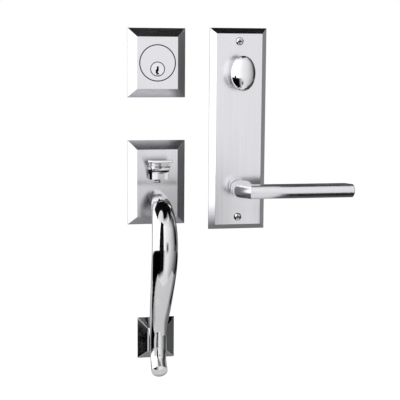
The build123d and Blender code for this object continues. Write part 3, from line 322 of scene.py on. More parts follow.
def group(name, inputs, outputs):
    """Starts a shader group with named sockets"""
    tree = bpy.data.node_groups.new(name, "ShaderNodeTree")
    for label, kind, default in inputs:
        socket = tree.interface.new_socket(label, in_out="INPUT", socket_type="NodeSocket" + kind)
        if default is not None:
            socket.default_value = default
    for label, kind in outputs:
        tree.interface.new_socket(label, in_out="OUTPUT", socket_type="NodeSocket" + kind)
    start = tree.nodes.new("NodeGroupInput")
    end = tree.nodes.new("NodeGroupOutput")
    return tree, start.outputs, end.inputs


def use(tree, name, inputs):
    """Places a shared group in a material"""
    return put(tree, "ShaderNodeGroup", inputs, node_tree=bpy.data.node_groups[name]).outputs


def noise(tree, vector, scale, detail=2.0, roughness=0.5):
    """Even noise between 0 and 1"""
    node = put(tree, "ShaderNodeTexNoise", {
        "Vector": vector, "Scale": scale, "Detail": detail, "Roughness": roughness,
    })
    return node.outputs["Fac"]


def reach_from_axis(tree, start):
    """Distance from the axis that runs through a group's centre and points at the viewer"""
    offset = vector_node(tree, "SUBTRACT", start["Vector"], start["Centre"])
    return vector_node(tree, "LENGTH", vector_node(tree, "MULTIPLY", offset, (1.0, 0.0, 1.0)))


# Shared surface effects

def make_stroke_grain():
    """Brush strokes that run along the axis whose stretch is smallest"""
    tree, start, end = group(
        "Stroke Grain",
        [("Vector", "Vector", None), ("Stretch", "Vector", (2600.0, 2600.0, 60.0))],
        [("Height", "Float"), ("Shade", "Float")],
    )
    place = vector_node(tree, "MULTIPLY", start["Vector"], start["Stretch"])
    fine = noise(tree, place, 1.0, 3.0, 0.65)
    coarse = noise(tree, place, 0.22, 2.0, 0.5)
    height = math_node(tree, "MULTIPLY_ADD", fine, 0.6, math_node(tree, "MULTIPLY", coarse, 0.4))
    tree.links.new(height, end["Height"])
    tree.links.new(span(tree, coarse, 0.3, 0.7), end["Shade"])


def make_turned_rings():
    """Fine rings round an axis that points at the viewer"""
    tree, start, end = group(
        "Turned Rings",
        [("Vector", "Vector", None), ("Centre", "Vector", (0.0, 0.0, 0.0)),
         ("Pitch", "Float", 0.0005)],
        [("Height", "Float"), ("Shade", "Float")],
    )
    wobble = noise(tree, start["Vector"], 90.0, 2.0, 0.5)
    turn = math_node(tree, "DIVIDE", reach_from_axis(tree, start), start["Pitch"])
    turn = math_node(tree, "MULTIPLY_ADD", wobble, 1.6, turn)
    line = noise(tree, put(tree, "ShaderNodeCombineXYZ", {"X": turn}).outputs[0], 1.0, 3.0, 0.6)
    tree.links.new(line, end["Height"])
    tree.links.new(span(tree, line, 0.3, 0.7), end["Shade"])


def make_edge_wear():
    """Where an outer edge has been rubbed brighter"""
    tree, start, end = group(
        "Edge Wear",
        [("Vector", "Vector", None), ("Radius", "Float", 0.0006)],
        [("Mask", "Float")],
    )
    soft = put(tree, "ShaderNodeBevel", {"Radius": start["Radius"]}, samples=4).outputs["Normal"]
    hard = put(tree, "ShaderNodeNewGeometry").outputs["Normal"]
    agree = vector_node(tree, "DOT_PRODUCT", soft, hard)
    edge = span(tree, agree, 0.995, 0.93)
    patch = span(tree, noise(tree, start["Vector"], 420.0, 3.0, 0.6), 0.35, 0.65)
    tree.links.new(math_node(tree, "MULTIPLY", edge, patch, clamp=True), end["Mask"])


def make_handling_marks():
    """Faint haze from hands and hairline scratches"""
    tree, start, end = group(
        "Handling Marks",
        [("Vector", "Vector", None), ("Size", "Float", 60.0)],
        [("Haze", "Float"), ("Hairlines", "Float")],
    )
    haze = span(tree, noise(tree, start["Vector"], start["Size"], 4.0, 0.62), 0.42, 0.72)
    tree.links.new(haze, end["Haze"])
    bent = put(tree, "ShaderNodeVectorRotate", {"Vector": start["Vector"], "Angle": 0.7}).outputs[0]
    long_way = vector_node(tree, "MULTIPLY", bent, (2400.0, 900.0, 70.0))
    line = noise(tree, long_way, 1.0, 1.0, 0.4)
    tree.links.new(span(tree, line, 0.72, 0.78), end["Hairlines"])


def make_settled_dust():
    """A thin film on what faces up"""
    tree, start, end = group(
        "Settled Dust",
        [("Vector", "Vector", None), ("Amount", "Float", 0.2)],
        [("Mask", "Float")],
    )
    normal = put(tree, "ShaderNodeNewGeometry").outputs["Normal"]
    up = split(tree, normal)["Z"]
    patch = noise(tree, start["Vector"], 260.0, 5.0, 0.7)
    level = math_node(tree, "MULTIPLY", span(tree, up, 0.55, 1.0), span(tree, patch, 0.3, 0.8))
    tree.links.new(math_node(tree, "MULTIPLY", level, start["Amount"], clamp=True), end["Mask"])


def make_crevice_shade_with_grime():
    """Painted shade with some grime, from ambient occlusion: dark where two pieces nearly touch,
    and in narrow slots
    """
    tree, start, end = group(
        "Crevice Shade and Grime",
        [("Vector", "Vector", None), ("Distance", "Float", 0.0008), ("Amount", "Float", 0.9)],
        [("Mask", "Float")],
    )
    node = put(tree, "ShaderNodeAmbientOcclusion", {"Distance": start["Distance"]}, samples=8)
    closed = span(tree, node.outputs["AO"], 0.55, 0.12)
    patch = span(tree, noise(tree, start["Vector"], 600.0, 3.0, 0.6), 0.1, 0.5, 0.7, 1.0)
    level = math_node(tree, "MULTIPLY", closed, patch)
    tree.links.new(math_node(tree, "MULTIPLY", level, start["Amount"], clamp=True), end["Mask"])


def make_seat_shade_line():
    """Painted shade line at a given reach from an axis that points at the viewer"""
    tree, start, end = group(
        "Seat Shade Line",
        [("Vector", "Vector", None), ("Centre", "Vector", (0.0, 0.0, 0.0)),
         ("Radius", "Float", 0.01), ("Width", "Float", 0.0004)],
        [("Mask", "Float")],
    )
    reach = reach_from_axis(tree, start)
    away = math_node(tree, "ABSOLUTE", math_node(tree, "SUBTRACT", reach, start["Radius"]))
    share = math_node(tree, "DIVIDE", away, start["Width"])
    uneven = span(tree, noise(tree, start["Vector"], 500.0, 3.0, 0.6), 0.2, 0.7, 0.75, 1.0)
    line = math_node(tree, "MULTIPLY", span(tree, share, 1.2, 0.7), uneven)
    tree.links.new(line, end["Mask"])


def make_recess_shade():
    """Painted black shade inside a slot or cross: what lies deeper than a face, within a reach of
    its axis
    """
    tree, start, end = group(
        "Recess Shade",
        [("Vector", "Vector", None), ("Centre", "Vector", (0.0, 0.0, 0.0)),
         ("Reach", "Float", 0.003), ("Face", "Float", 0.0)],
        [("Mask", "Float")],
    )
    inside = math_node(tree, "LESS_THAN", reach_from_axis(tree, start), start["Reach"])
    below = math_node(tree, "SUBTRACT", split(tree, start["Vector"])["Y"], start["Face"])
    tree.links.new(math_node(tree, "MULTIPLY", inside, span(tree, below, 0.0, 0.0004)), end["Mask"])


def make_slot_mouth_shade():
    """Upright block of painted black shade over a slot's mouth, seen from the front"""
    tree, start, end = group(
        "Slot Mouth Shade",
        [("Vector", "Vector", None), ("Centre", "Vector", (0.0, 0.0, 0.0)),
         ("Half Width", "Float", 0.001), ("Half Height", "Float", 0.001)],
        [("Mask", "Float")],
    )
    offset = split(tree, vector_node(tree, "SUBTRACT", start["Vector"], start["Centre"]))
    wide = math_node(tree, "DIVIDE", math_node(tree, "ABSOLUTE", offset["X"]), start["Half Width"])
    tall = math_node(tree, "DIVIDE", math_node(tree, "ABSOLUTE", offset["Z"]), start["Half Height"])
    far = math_node(tree, "MAXIMUM", wide, tall)
    tree.links.new(span(tree, far, 1.12, 0.88), end["Mask"])


def make_cast_back():
    """Unbrushed casting on the hollow side of a trim"""
    tree, start, end = group(
        "Cast Back",
        [("Vector", "Vector", None)],
        [("Mask", "Float"), ("Height", "Float")],
    )
    normal = put(tree, "ShaderNodeNewGeometry").outputs["Normal"]
    inward = split(tree, normal)["Y"]
    tree.links.new(span(tree, inward, 0.2, 0.35), end["Mask"])
    cells = put(tree, "ShaderNodeTexVoronoi", {"Vector": start["Vector"], "Scale": 900.0})
    pits = cells.outputs["Distance"]
    skin = noise(tree, start["Vector"], 500.0, 5.0, 0.7)
    tree.links.new(math_node(tree, "MULTIPLY_ADD", pits, 0.5, skin), end["Height"])


def make_plating_mottle():
    """Cloudy tone of zinc plate and of blued steel"""
    tree, start, end = group(
        "Plating Mottle",
        [("Vector", "Vector", None), ("Size", "Float", 300.0)],
        [("Shade", "Float"), ("Height", "Float")],
    )
    cloud = noise(tree, start["Vector"], start["Size"], 4.0, 0.6)
    grain = noise(tree, start["Vector"], 2200.0, 3.0, 0.6)
    tree.links.new(span(tree, cloud, 0.3, 0.7), end["Shade"])
    tree.links.new(grain, end["Height"])


def make_groups():
    """Builds every shared effect once"""
    make_stroke_grain()
    make_turned_rings()
    make_edge_wear()
    make_handling_marks()
    make_settled_dust()
    make_crevice_shade_with_grime()
    make_seat_shade_line()
    make_recess_shade()
    make_slot_mouth_shade()
    make_cast_back()
    make_plating_mottle()


# Materials

def new_material(name):
    """Starts a material with one shader, and gives the place on the piece"""
    material = bpy.data.materials.new(name)
    material.use_nodes = True
    tree = material.node_tree
    tree.nodes.clear()
    output = tree.nodes.new("ShaderNodeOutputMaterial")
    shader = tree.nodes.new("ShaderNodeBsdfPrincipled")
    tree.links.new(shader.outputs["BSDF"], output.inputs["Surface"])
    place = tree.nodes.new("ShaderNodeTexCoord").outputs["Object"]
    return material, tree, shader, place


def finish_shader(tree, shader, color, rough, height, depth, metallic=1.0):
    """Joins colour, roughness and relief to the shader"""
    relief = put(tree, "ShaderNodeBump", {"Height": height, "Distance": depth, "Strength": 1.0})
    tree.links.new(color, shader.inputs["Base Color"])
    tree.links.new(rough, shader.inputs["Roughness"])
    tree.links.new(relief.outputs["Normal"], shader.inputs["Normal"])
    shader.inputs["Metallic"].default_value = metallic


def draw_seat_shades(tree, place, color, lines, tone):
    """Draws painted shade lines round seats, each given by its centre, radius and width"""
    for centre, radius, width in lines:
        line = use(tree, "Seat Shade Line", {
            "Vector": place, "Centre": centre, "Radius": radius, "Width": width,
        })
        color = blend_colors(tree, line["Mask"], color, tone)
    return color


def satin_trim(name, strokes_per_metre, lines=()):
    """Satin chrome with brush strokes, a plain casting behind and painted shade lines round its
    bores
    """
    look = bpy.context.scene.handleset_finishes
    material, tree, shader, place = new_material(name)
    strokes = use(tree, "Stroke Grain", {"Vector": place, "Stretch": strokes_per_metre})
    back = use(tree, "Cast Back", {"Vector": place})
    wear = use(tree, "Edge Wear", {"Vector": place})
    marks = use(tree, "Handling Marks", {"Vector": place, "Size": 45.0})
    dust = use(tree, "Settled Dust", {"Vector": place, "Amount": 0.06})
    shade_and_grime = use(tree, "Crevice Shade and Grime", {"Vector": place})
    dark, light = rgba(look.satin_color, 0.97), rgba(look.satin_color, 1.02)
    color = blend_colors(tree, strokes["Shade"], dark, light)
    color = blend_colors(tree, back["Mask"], color, rgba(look.plated_color, 0.8))
    color = blend_colors(tree, dust["Mask"], color, DUST)
    # Painted shade with some grime where ambient occlusion closes in
    color = blend_colors(tree, shade_and_grime["Mask"], color, SATIN_SHADE_AND_GRIME)
    # Painted shade lines round the seats
    color = draw_seat_shades(tree, place, color, lines, SATIN_SEAT_SHADE)
    rough = math_node(tree, "MULTIPLY_ADD", strokes["Height"], 0.1, look.satin_roughness - 0.05)
    rough = math_node(tree, "MULTIPLY_ADD", marks["Haze"], 0.03, rough)
    rough = math_node(tree, "MULTIPLY_ADD", wear["Mask"], -0.06, rough)
    rough = math_node(tree, "MULTIPLY_ADD", back["Mask"], 0.22, rough, clamp=True)
    height = blend_values(tree, back["Mask"], strokes["Height"], back["Height"])
    finish_shader(tree, shader, color, rough, height, look.stroke_depth)
    return material


def satin_turned(name, centre, pitch, lines):
    """Satin chrome with fine rings round its own axis and painted shade lines at its seats"""
    look = bpy.context.scene.handleset_finishes
    material, tree, shader, place = new_material(name)
    rings = use(tree, "Turned Rings", {"Vector": place, "Centre": centre, "Pitch": pitch})
    wear = use(tree, "Edge Wear", {"Vector": place})
    marks = use(tree, "Handling Marks", {"Vector": place, "Size": 70.0})
    shade_and_grime = use(tree, "Crevice Shade and Grime", {"Vector": place})
    dark, light = rgba(look.satin_color, 0.97), rgba(look.satin_color, 1.02)
    color = blend_colors(tree, rings["Shade"], dark, light)
    # Painted shade with some grime where ambient occlusion closes in
    color = blend_colors(tree, shade_and_grime["Mask"], color, SATIN_SHADE_AND_GRIME)
    # Painted shade lines round the seats
    color = draw_seat_shades(tree, place, color, lines, SATIN_SEAT_SHADE)
    rough = math_node(tree, "MULTIPLY_ADD", rings["Height"], 0.08, look.satin_roughness - 0.04)
    rough = math_node(tree, "MULTIPLY_ADD", marks["Haze"], 0.04, rough)
    rough = math_node(tree, "MULTIPLY_ADD", wear["Mask"], -0.06, rough, clamp=True)
    finish_shader(tree, shader, color, rough, rings["Height"], look.stroke_depth)
    return material


def satin_lever(name):
    """Satin chrome with strokes along the arm and rings on the neck"""
    look = bpy.context.scene.handleset_finishes
    low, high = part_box("lever_spindle")
    centre = ((low[0] + high[0]) / 2, 0.0, (low[2] + high[2]) / 2)
    material, tree, shader, place = new_material(name)
    strokes = use(tree, "Stroke Grain", {"Vector": place, "Stretch": ARM_STROKES})
    rings = use(tree, "Turned Rings", {"Vector": place, "Centre": centre, "Pitch": NECK_PITCH})
    wear = use(tree, "Edge Wear", {"Vector": place})
    marks = use(tree, "Handling Marks", {"Vector": place, "Size": 50.0})
    dust = use(tree, "Settled Dust", {"Vector": place, "Amount": 0.06})
    on_arm = span(tree, split(tree, place)["X"], centre[0] + ARM_START, centre[0] + ARM_FULL)
    height = blend_values(tree, on_arm, rings["Height"], strokes["Height"])
    shade = blend_values(tree, on_arm, rings["Shade"], strokes["Shade"])
    dark, light = rgba(look.satin_color, 0.96), rgba(look.satin_color, 1.02)
    color = blend_colors(tree, shade, dark, light)
    color = blend_colors(tree, dust["Mask"], color, DUST)
    rough = math_node(tree, "MULTIPLY_ADD", height, 0.1, look.satin_roughness - 0.06)
    rough = math_node(tree, "MULTIPLY_ADD", marks["Haze"], 0.03, rough)
    rough = math_node(tree, "MULTIPLY_ADD", wear["Mask"], -0.05, rough, clamp=True)
    finish_shader(tree, shader, color, rough, height, look.stroke_depth)
    return material


def polished(name, size, haze, lines=(), recesses=(), mouths=()):
    """Polished chrome with a faint haze and hairlines, and painted shade at seats, recesses and
    slot mouths
    """
    look = bpy.context.scene.handleset_finishes
    material, tree, shader, place = new_material(name)
    marks = use(tree, "Handling Marks", {"Vector": place, "Size": size})
    wear = use(tree, "Edge Wear", {"Vector": place})
    dust = use(tree, "Settled Dust", {"Vector": place, "Amount": 0.04})
    shade_and_grime = use(tree, "Crevice Shade and Grime", {"Vector": place})
    clear, hazy = rgba(look.polished_color), rgba(look.polished_color, 0.985)
    color = blend_colors(tree, marks["Haze"], clear, hazy)
    color = blend_colors(tree, dust["Mask"], color, DUST)
    # Painted shade with some grime where ambient occlusion closes in
    color = blend_colors(tree, shade_and_grime["Mask"], color, POLISHED_SHADE_AND_GRIME)
    # Painted shade lines round the seats
    color = draw_seat_shades(tree, place, color, lines, POLISHED_SEAT_SHADE)
    # Recesses and slot mouths are painted black as shade
    for centre, reach, face in recesses:
        deep = use(tree, "Recess Shade", {
            "Vector": place, "Centre": centre, "Reach": reach, "Face": face,
        })
        color = blend_colors(tree, deep["Mask"], color, RECESS_SHADE)
    for centre, half_width, half_height in mouths:
        mouth = use(tree, "Slot Mouth Shade", {
            "Vector": place, "Centre": centre, "Half Width": half_width, "Half Height": half_height,
        })
        color = blend_colors(tree, mouth["Mask"], color, RECESS_SHADE)
    rough = math_node(tree, "MULTIPLY_ADD", marks["Haze"], haze, look.polished_roughness)
    rough = math_node(tree, "MULTIPLY_ADD", marks["Hairlines"], 0.04, rough)
    rough = math_node(tree, "MULTIPLY_ADD", wear["Mask"], 0.05, rough, clamp=True)
    finish_shader(tree, shader, color, rough, marks["Hairlines"], 0.0000015)
    return material


def plated_steel(name, color, dark=0.8, roughness=0.34, size=300.0):
    """Hidden steel with the cloudy tone of its plating"""
    material, tree, shader, place = new_material(name)
    mottle = use(tree, "Plating Mottle", {"Vector": place, "Size": size})
    wear = use(tree, "Edge Wear", {"Vector": place, "Radius": 0.0004})
    marks = use(tree, "Handling Marks", {"Vector": place, "Size": 120.0})
    tone = blend_colors(tree, mottle["Shade"], rgba(color, dark), rgba(color))
    tone = blend_colors(tree, wear["Mask"], tone, rgba(color, 1.2))
    rough = math_node(tree, "MULTIPLY_ADD", mottle["Shade"], -0.08, roughness)
    rough = math_node(tree, "MULTIPLY_ADD", marks["Haze"], 0.1, rough, clamp=True)
    finish_shader(tree, shader, tone, rough, mottle["Height"], 0.00001)
    return material


def porous_bronze(name, color):
    """Sintered bronze with open pores"""
    material, tree, shader, place = new_material(name)
    mottle = use(tree, "Plating Mottle", {"Vector": place, "Size": 700.0})
    cells = put(tree, "ShaderNodeTexVoronoi", {"Vector": place, "Scale": 3200.0})
    pores = cells.outputs["Distance"]
    open_pore = span(tree, pores, 0.22, 0.12)
    tone = blend_colors(tree, mottle["Shade"], rgba(color, 0.85), rgba(color, 1.1))
    tone = blend_colors(tree, open_pore, tone, rgba(color, 0.3))
    rough = math_node(tree, "MULTIPLY_ADD", open_pore, 0.3, 0.42)
    finish_shader(tree, shader, tone, rough, pores, 0.00005)
    return material


def moulded_nylon(name, color):
    """Black nylon with a fine moulded skin"""
    material, tree, shader, place = new_material(name)
    mottle = use(tree, "Plating Mottle", {"Vector": place, "Size": 500.0})
    tone = blend_colors(tree, mottle["Shade"], rgba(color, 0.8), rgba(color, 1.3))
    rough = math_node(tree, "MULTIPLY_ADD", mottle["Shade"], 0.12, 0.42)
    finish_shader(tree, shader, tone, rough, mottle["Height"], 0.00002, metallic=0.0)
    return material


def dress(material, *nodes):
    """Gives CAD nodes their finish"""
    for name in nodes:
        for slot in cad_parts[name].material_slots:
            slot.material = material


def round_face(node):
    """Centre and radius of a round piece that points at the viewer"""
    low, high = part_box(node)
    centre = ((low[0] + high[0]) / 2, 0.0, (low[2] + high[2]) / 2)
    return centre, (high[0] - low[0]) / 2


def rim_line(centre, radius, line):
    """Centre, radius and width of a painted shade line round a rim"""
    outward, width = line
    return centre, radius + outward, width


# Operators for the pieces

class HANDLESET_OT_satin_trims(bpy.types.Operator):
    """Brush the two outside roses and the inside plate"""

    bl_idname = "handleset.satin_trims"
    bl_label = "Satin Trims"

    def execute(self, context):
        centre, radius = round_face("cylinder_body")
        bore = [rim_line(centre, radius, BORE_LINE)]
        dress(satin_trim("satin_deadbolt_rose", ROSE_STROKES, bore), "deadbolt_rose")
        dress(satin_trim("satin_rose", ROSE_STROKES), "grip_rose")
        dress(satin_trim("satin_plate", PLATE_STROKES), "interior_plate")
        return {"FINISHED"}


class HANDLESET_OT_lock_cylinder(bpy.types.Operator):
    """Finish the lock cylinder, its plug and its pins"""

    bl_idname = "handleset.lock_cylinder"
    bl_label = "Lock Cylinder"

    def execute(self, context):
        look = context.scene.handleset_finishes
        centre, radius = round_face("cylinder_body")
        middle, plug_radius = round_face("key_plug")
        seats = [
            rim_line(centre, radius, HEAD_LINE), rim_line(middle, plug_radius, PLUG_SEAT_LINE),
        ]
        dress(satin_turned("cylinder_satin", centre, CYLINDER_PITCH, seats), "cylinder_body")
        rim = [rim_line(middle, plug_radius, PLUG_RIM_LINE)]
        # The keyway and the blocks over its mouth are painted black as shade
        keyway = [(middle, KEYWAY_REACH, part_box("key_plug")[0][1] + KEYWAY_FACE)]
        mouths = [
            ((middle[0] + across, 0.0, middle[2] + up), half_width, half_height)
            for across, up, half_width, half_height in KEYWAY_MOUTH
        ]
        dress(polished("plug_polished", 140.0, 0.08, rim, keyway, mouths), "key_plug")
        pins = plated_steel("pin_brass", look.brass_color, 0.8, 0.25, 900.0)
        dress(pins, "key_pins", "driver_pins")
        dress(plated_steel("inner_brass", look.brass_color, 0.7, 0.4, 400.0), "chamber_cap")
        return {"FINISHED"}


class HANDLESET_OT_grip(bpy.types.Operator):
    """Polish the grip handle and its foot"""

    bl_idname = "handleset.grip"
    bl_label = "Grip and Foot"

    def execute(self, context):
        dress(polished("polished_chrome", 55.0, 0.03), "grip_handle")
        dress(polished("polished_foot", 70.0, 0.04), "foot_rose")
        return {"FINISHED"}


class HANDLESET_OT_thumbpiece(bpy.types.Operator):
    """Polish the thumbpiece"""

    bl_idname = "handleset.thumbpiece"
    bl_label = "Thumbpiece"

    def execute(self, context):
        dress(polished("polished_thumbpiece", 90.0, 0.06), "thumbpiece")
        return {"FINISHED"}


class HANDLESET_OT_plate_screws(bpy.types.Operator):
    """Polish the two screws of the inside plate"""

    bl_idname = "handleset.plate_screws"
    bl_label = "Plate Screws"

    def execute(self, context):
        low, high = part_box("plate_screws")
        middle = (low[0] + high[0]) / 2
        radius = (high[0] - low[0]) / 2
        face = low[1] + CROSS_FACE
        # Each screw gets a painted shade line at its rim and a cross painted black as shade
        rims, crosses, arms = [], [], []
        for up in (high[2] - radius, low[2] + radius):
            centre = (middle, 0.0, up)
            rims.append(rim_line(centre, radius, SCREW_LINE))
            crosses.append((centre, CROSS_REACH, face))
            arms.append((centre, CROSS_WIDTH, CROSS_LENGTH))
            arms.append((centre, CROSS_LENGTH, CROSS_WIDTH))
        dress(polished("polished_screws", 200.0, 0.06, rims, crosses, arms), "plate_screws")
        return {"FINISHED"}


class HANDLESET_OT_thumbturn(bpy.types.Operator):
    """Polish the thumbturn and finish its washer"""

    bl_idname = "handleset.thumbturn"
    bl_label = "Thumbturn"

    def execute(self, context):
        look = context.scene.handleset_finishes
        dress(polished("polished_turn", 80.0, 0.04), "thumbturn")
        dress(moulded_nylon("nylon", look.nylon_color), "turn_washer")
        return {"FINISHED"}


class HANDLESET_OT_lever(bpy.types.Operator):
    """Brush the lever and finish its screw and bushing"""

    bl_idname = "handleset.lever"
    bl_label = "Lever"

    def execute(self, context):
        look = context.scene.handleset_finishes
        dress(satin_lever("satin_lever"), "lever")
        dress(plated_steel("dark_steel", look.oxide_color, 0.7, 0.5, 700.0), "lever_set_screw")
        dress(porous_bronze("bushing_bronze", look.bronze_color), "lever_bushing")
        return {"FINISHED"}


class HANDLESET_OT_inner_steel(bpy.types.Operator):
    """Finish the fixings, linkage and springs behind the trims"""

    bl_idname = "handleset.inner_steel"
    bl_label = "Inner Steel"

    def execute(self, context):
        look = context.scene.handleset_finishes
        dress(
            plated_steel("zinc_steel", look.plated_color),
            "plug_cap", "tailpiece", "cylinder_posts", "grip_root_washer", "grip_root_screw",
            "thumb_bracket", "bracket_screws", "thumb_pivot_pin", "lift_hub", "latch_spindle",
            "grip_posts", "foot_insert", "interior_backplate", "through_bolts", "lever_spindle",
            "spring_housing", "spring_hub",
        )
        dress(
            plated_steel("spring_steel", look.spring_color, 0.7, 0.3, 500.0),
            "pin_springs", "thumb_spring", "hub_clip", "turn_clip", "lever_clip", "return_spring",
        )
        return {"FINISHED"}


# Stage

def wall_light(tone):
    """Light that a wall must give to appear in polished metal at this tone, 1.0 being white"""
    return tone ** DISPLAY_CURVE / CHROME_SHARE


def bearing_ramp(tree, bearing, stops):
    """Light of the studio round the object, from straight behind over left, front and right"""
    ramp = put(tree, "ShaderNodeValToRGB", {"Fac": bearing})
    elements = ramp.color_ramp.elements
    elements.remove(elements[1])
    for index, (angle, tone) in enumerate(stops):
        place = (angle + 180.0) / 360.0
        element = elements[0] if index == 0 else elements.new(place)
        element.position = place
        level = wall_light(tone)
        element.color = (level, level, level, 1.0)
    return ramp.outputs["Color"]


def build_world(scene):
    """Soft studio walls for the reflections, plain white behind the object"""
    world = bpy.data.worlds.new("Studio")
    scene.world = world
    world.use_nodes = True
    tree = world.node_tree
    tree.nodes.clear()
    direction = tree.nodes.new("ShaderNodeTexCoord").outputs["Generated"]
    parts = split(tree, direction)
    toward = math_node(tree, "MULTIPLY", parts["Y"], -1.0)
    bearing = math_node(tree, "ARCTAN2", parts["X"], toward)
    bearing = span(tree, bearing, -math.pi, math.pi)
    rise = math_node(tree, "MULTIPLY", math_node(tree, "ARCSINE", parts["Z"]), 180.0 / math.pi)
    above_foot = math_node(tree, "SUBTRACT", rise, span(tree, bearing, *LOW_FOOT))
    low_share = span(tree, above_foot, -LOW_FOOT_EDGE, LOW_FOOT_EDGE)
    floor_walls = bearing_ramp(tree, bearing, FLOOR_WALLS)
    color = blend_colors(tree, low_share, floor_walls, bearing_ramp(tree, bearing, LOW_WALLS))
    for start, full, stops in WALL_LAYERS:
        walls = bearing_ramp(tree, bearing, stops)
        color = blend_colors(tree, span(tree, rise, start, full), color, walls)
    start, full, ceiling = CEILING
    color = blend_colors(tree, span(tree, rise, start, full), color, ceiling)
    walls = put(tree, "ShaderNodeBackground", {"Color": color, "Strength": 1.0})
    white = put(tree, "ShaderNodeBackground", {"Color": WHITE, "Strength": 1.0})
    seen = tree.nodes.new("ShaderNodeLightPath").outputs["Is Camera Ray"]
    both = put(tree, "ShaderNodeMixShader", {0: seen, 1: walls.outputs[0], 2: white.outputs[0]})
    output = tree.nodes.new("ShaderNodeOutputWorld")
    tree.links.new(both.outputs[0], output.inputs["Surface"])


def soft_lamp(name, power, size, location):
    """Large lamp that only lights, and that neither camera nor metal sees"""
    data = bpy.data.lights.new(name, "AREA")
    data.shape = "RECTANGLE"
    data.size, data.size_y = size
    data.energy = power
    lamp = bpy.data.objects.new(name, data)
    bpy.context.scene.collection.objects.link(lamp)
    lamp.location = location
    lamp.rotation_mode = "QUATERNION"
    lamp.rotation_quaternion = (Vector(LAMP_AIM) - Vector(location)).to_track_quat("-Z", "Y")
    lamp.visible_camera = False
    lamp.visible_glossy = False


def flat_sheet(name, corners, roughness):
    """A flat sheet of the studio, with its material's tree, shader and place"""
    mesh = bpy.data.meshes.new(name)
    shape = bmesh.new()
    shape.faces.new([shape.verts.new(corner) for corner in corners])
    shape.to_mesh(mesh)
    shape.free()
    sheet = bpy.data.objects.new(name, mesh)
    bpy.context.scene.collection.objects.link(sheet)
    material, tree, shader, place = new_material(name)
    shader.inputs["Roughness"].default_value = roughness
    shader.inputs["Emission Color"].default_value = WHITE
    sheet.data.materials.append(material)
    return sheet, tree, shader, place


def build_floor(height):
    """Pale floor under and behind the hung set, white to the camera, with a painted shadow behind
    the set
    """
    corners = [(across, back, height) for across, back in FLOOR_CORNERS]
    floor, tree, shader, place = flat_sheet("studio_floor", corners, 0.9)
    # Painted shadow: the floor darkens behind the set
    behind = span(tree, split(tree, place)["Y"], *FLOOR_CHANGE)
    tone = blend_colors(tree, behind, FLOOR_TONE, FLOOR_SHADOW_TONE)
    tree.links.new(tone, shader.inputs["Base Color"])
    seen = tree.nodes.new("ShaderNodeLightPath").outputs["Is Camera Ray"]
    shine = math_node(tree, "MULTIPLY", seen, FLOOR_GLOW)
    tree.links.new(shine, shader.inputs["Emission Strength"])


def shine_behind(tree, tone):
    """Light of a card's back, dimmer towards its lower end"""
    place = tree.nodes.new("ShaderNodeNewGeometry").outputs
    full = span(tree, split(tree, place["Position"])["Z"], *BACK_FADE)
    behind = math_node(tree, "MULTIPLY", place["Backfacing"], full)
    return math_node(tree, "MULTIPLY", behind, wall_light(tone))


def shine_at_edges(tree, corners, tone):
    """Light that grows towards the edges of an upright card that faces the viewer"""
    place = split(tree, tree.nodes.new("ShaderNodeNewGeometry").outputs["Position"])
    shares = []
    for axis, output in ((0, "X"), (2, "Z")):
        low = min(corner[axis] for corner in corners)
        high = max(corner[axis] for corner in corners)
        offset = math_node(tree, "SUBTRACT", place[output], (low + high) / 2)
        offset = math_node(tree, "ABSOLUTE", offset)
        shares.append(math_node(tree, "DIVIDE", offset, (high - low) / 2))
    outward = math_node(tree, "MAXIMUM", *shares)
    return span(tree, outward, EDGE_FADE_START, 1.0, 0.0, wall_light(tone))


def build_reflection_card(name, corners, level=0.012, glow=None, back=None, edge=None):
    """Card that only the metal sees, a painted dark reflection; all of it, its back or its edges
    can shine at a tone as a painted bright reflection
    """
    card, tree, shader, place = flat_sheet(name, corners, 1.0)
    color = (level, level, level)
    grain = noise(tree, place, 90.0, 3.0, 0.6)
    tone = blend_colors(tree, grain, rgba(color, 0.99), rgba(color, 1.01))
    tree.links.new(tone, shader.inputs["Base Color"])
    shader.inputs["Specular IOR Level"].default_value = 0.0
    if glow is not None:
        shader.inputs["Emission Strength"].default_value = wall_light(glow)
    if back is not None:
        tree.links.new(shine_behind(tree, back), shader.inputs["Emission Strength"])
    if edge is not None:
        tree.links.new(shine_at_edges(tree, corners, edge), shader.inputs["Emission Strength"])
    card.visible_camera = False
    card.visible_diffuse = False
    card.visible_shadow = False


def build_camera(scene, lens):
    """Camera that looks at the set from above on its left"""
    data = bpy.data.cameras.new("camera")
    data.sensor_width = SENSOR_WIDTH
    data.lens = lens
    data.clip_start, data.clip_end = 0.05, 20.0
    camera = bpy.data.objects.new("camera", data)
    scene.collection.objects.link(camera)
    turn = (
        Matrix.Rotation(CAMERA_YAW, 3, "Z")
        @ Matrix.Rotation(CAMERA_PITCH, 3, "X")
        @ Matrix.Rotation(CAMERA_ROLL, 3, "Y")
    )
    axes = Matrix((turn.col[0], turn.col[2], -turn.col[1])).transposed()
    camera.rotation_mode = "QUATERNION"
    camera.rotation_quaternion = axes.to_quaternion()
    camera.location = CAMERA_PLACE
    scene.camera = camera


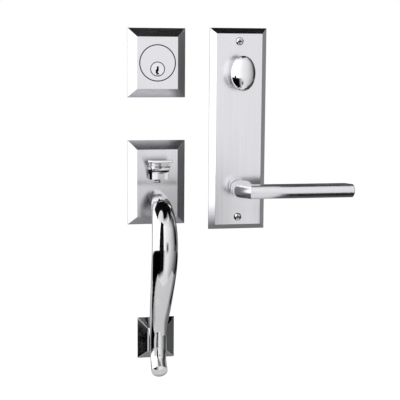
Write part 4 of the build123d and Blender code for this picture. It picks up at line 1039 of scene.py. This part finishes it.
class HANDLESET_OT_stage(bpy.types.Operator):
    """Build the walls, the floor, the cards that paint reflections into the metal, the lamps and
    the camera
    """

    bl_idname = "handleset.stage"
    bl_label = "Studio"

    def execute(self, context):
        scene = context.scene
        studio = scene.handleset_studio
        build_world(scene)
        build_floor(-studio.floor_drop)
        for name, corners, tones in REFLECTION_CARDS:
            build_reflection_card(name, corners, **tones)
        soft_lamp("left_lamp", studio.left_power, *LEFT_LAMP)
        soft_lamp("front_lamp", studio.front_power, *FRONT_LAMP)
        build_camera(scene, studio.lens)
        scene.view_settings.view_transform = "Standard"
        return {"FINISHED"}


class HANDLESET_PT_panel(bpy.types.Panel):
    """Lists the steps and settings in the sidebar"""

    bl_idname = "HANDLESET_PT_panel"
    bl_label = "Entry Door Handleset"
    bl_space_type = "VIEW_3D"
    bl_region_type = "UI"
    bl_category = "Handleset"

    def draw(self, context):
        layout = self.layout
        finishes = context.scene.handleset_finishes
        studio = context.scene.handleset_studio
        column = layout.column(align=True)
        for step in STEPS:
            column.operator(step.bl_idname)
        for source in (finishes, studio):
            box = layout.box()
            for key in source.__annotations__:
                box.prop(source, key)


STEPS = (
    HANDLESET_OT_stage,
    HANDLESET_OT_satin_trims,
    HANDLESET_OT_lock_cylinder,
    HANDLESET_OT_grip,
    HANDLESET_OT_thumbpiece,
    HANDLESET_OT_plate_screws,
    HANDLESET_OT_thumbturn,
    HANDLESET_OT_lever,
    HANDLESET_OT_inner_steel,
)
CLASSES = (HandlesetFinishes, HandlesetStudio) + STEPS + (HANDLESET_PT_panel,)


def register():
    """Makes the settings, steps and panel known"""
    for item in CLASSES:
        bpy.utils.register_class(item)
    bpy.types.Scene.handleset_finishes = PointerProperty(type=HandlesetFinishes)
    bpy.types.Scene.handleset_studio = PointerProperty(type=HandlesetStudio)


def unregister():
    """Takes them back"""
    del bpy.types.Scene.handleset_studio
    del bpy.types.Scene.handleset_finishes
    for item in reversed(CLASSES):
        bpy.utils.unregister_class(item)


def main():
    """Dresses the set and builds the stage"""
    register()
    make_groups()
    bpy.ops.handleset.stage()
    bpy.ops.handleset.satin_trims()
    bpy.ops.handleset.lock_cylinder()
    bpy.ops.handleset.grip()
    bpy.ops.handleset.thumbpiece()
    bpy.ops.handleset.plate_screws()
    bpy.ops.handleset.thumbturn()
    bpy.ops.handleset.lever()
    bpy.ops.handleset.inner_steel()


if __name__ == "__main__":
    main()
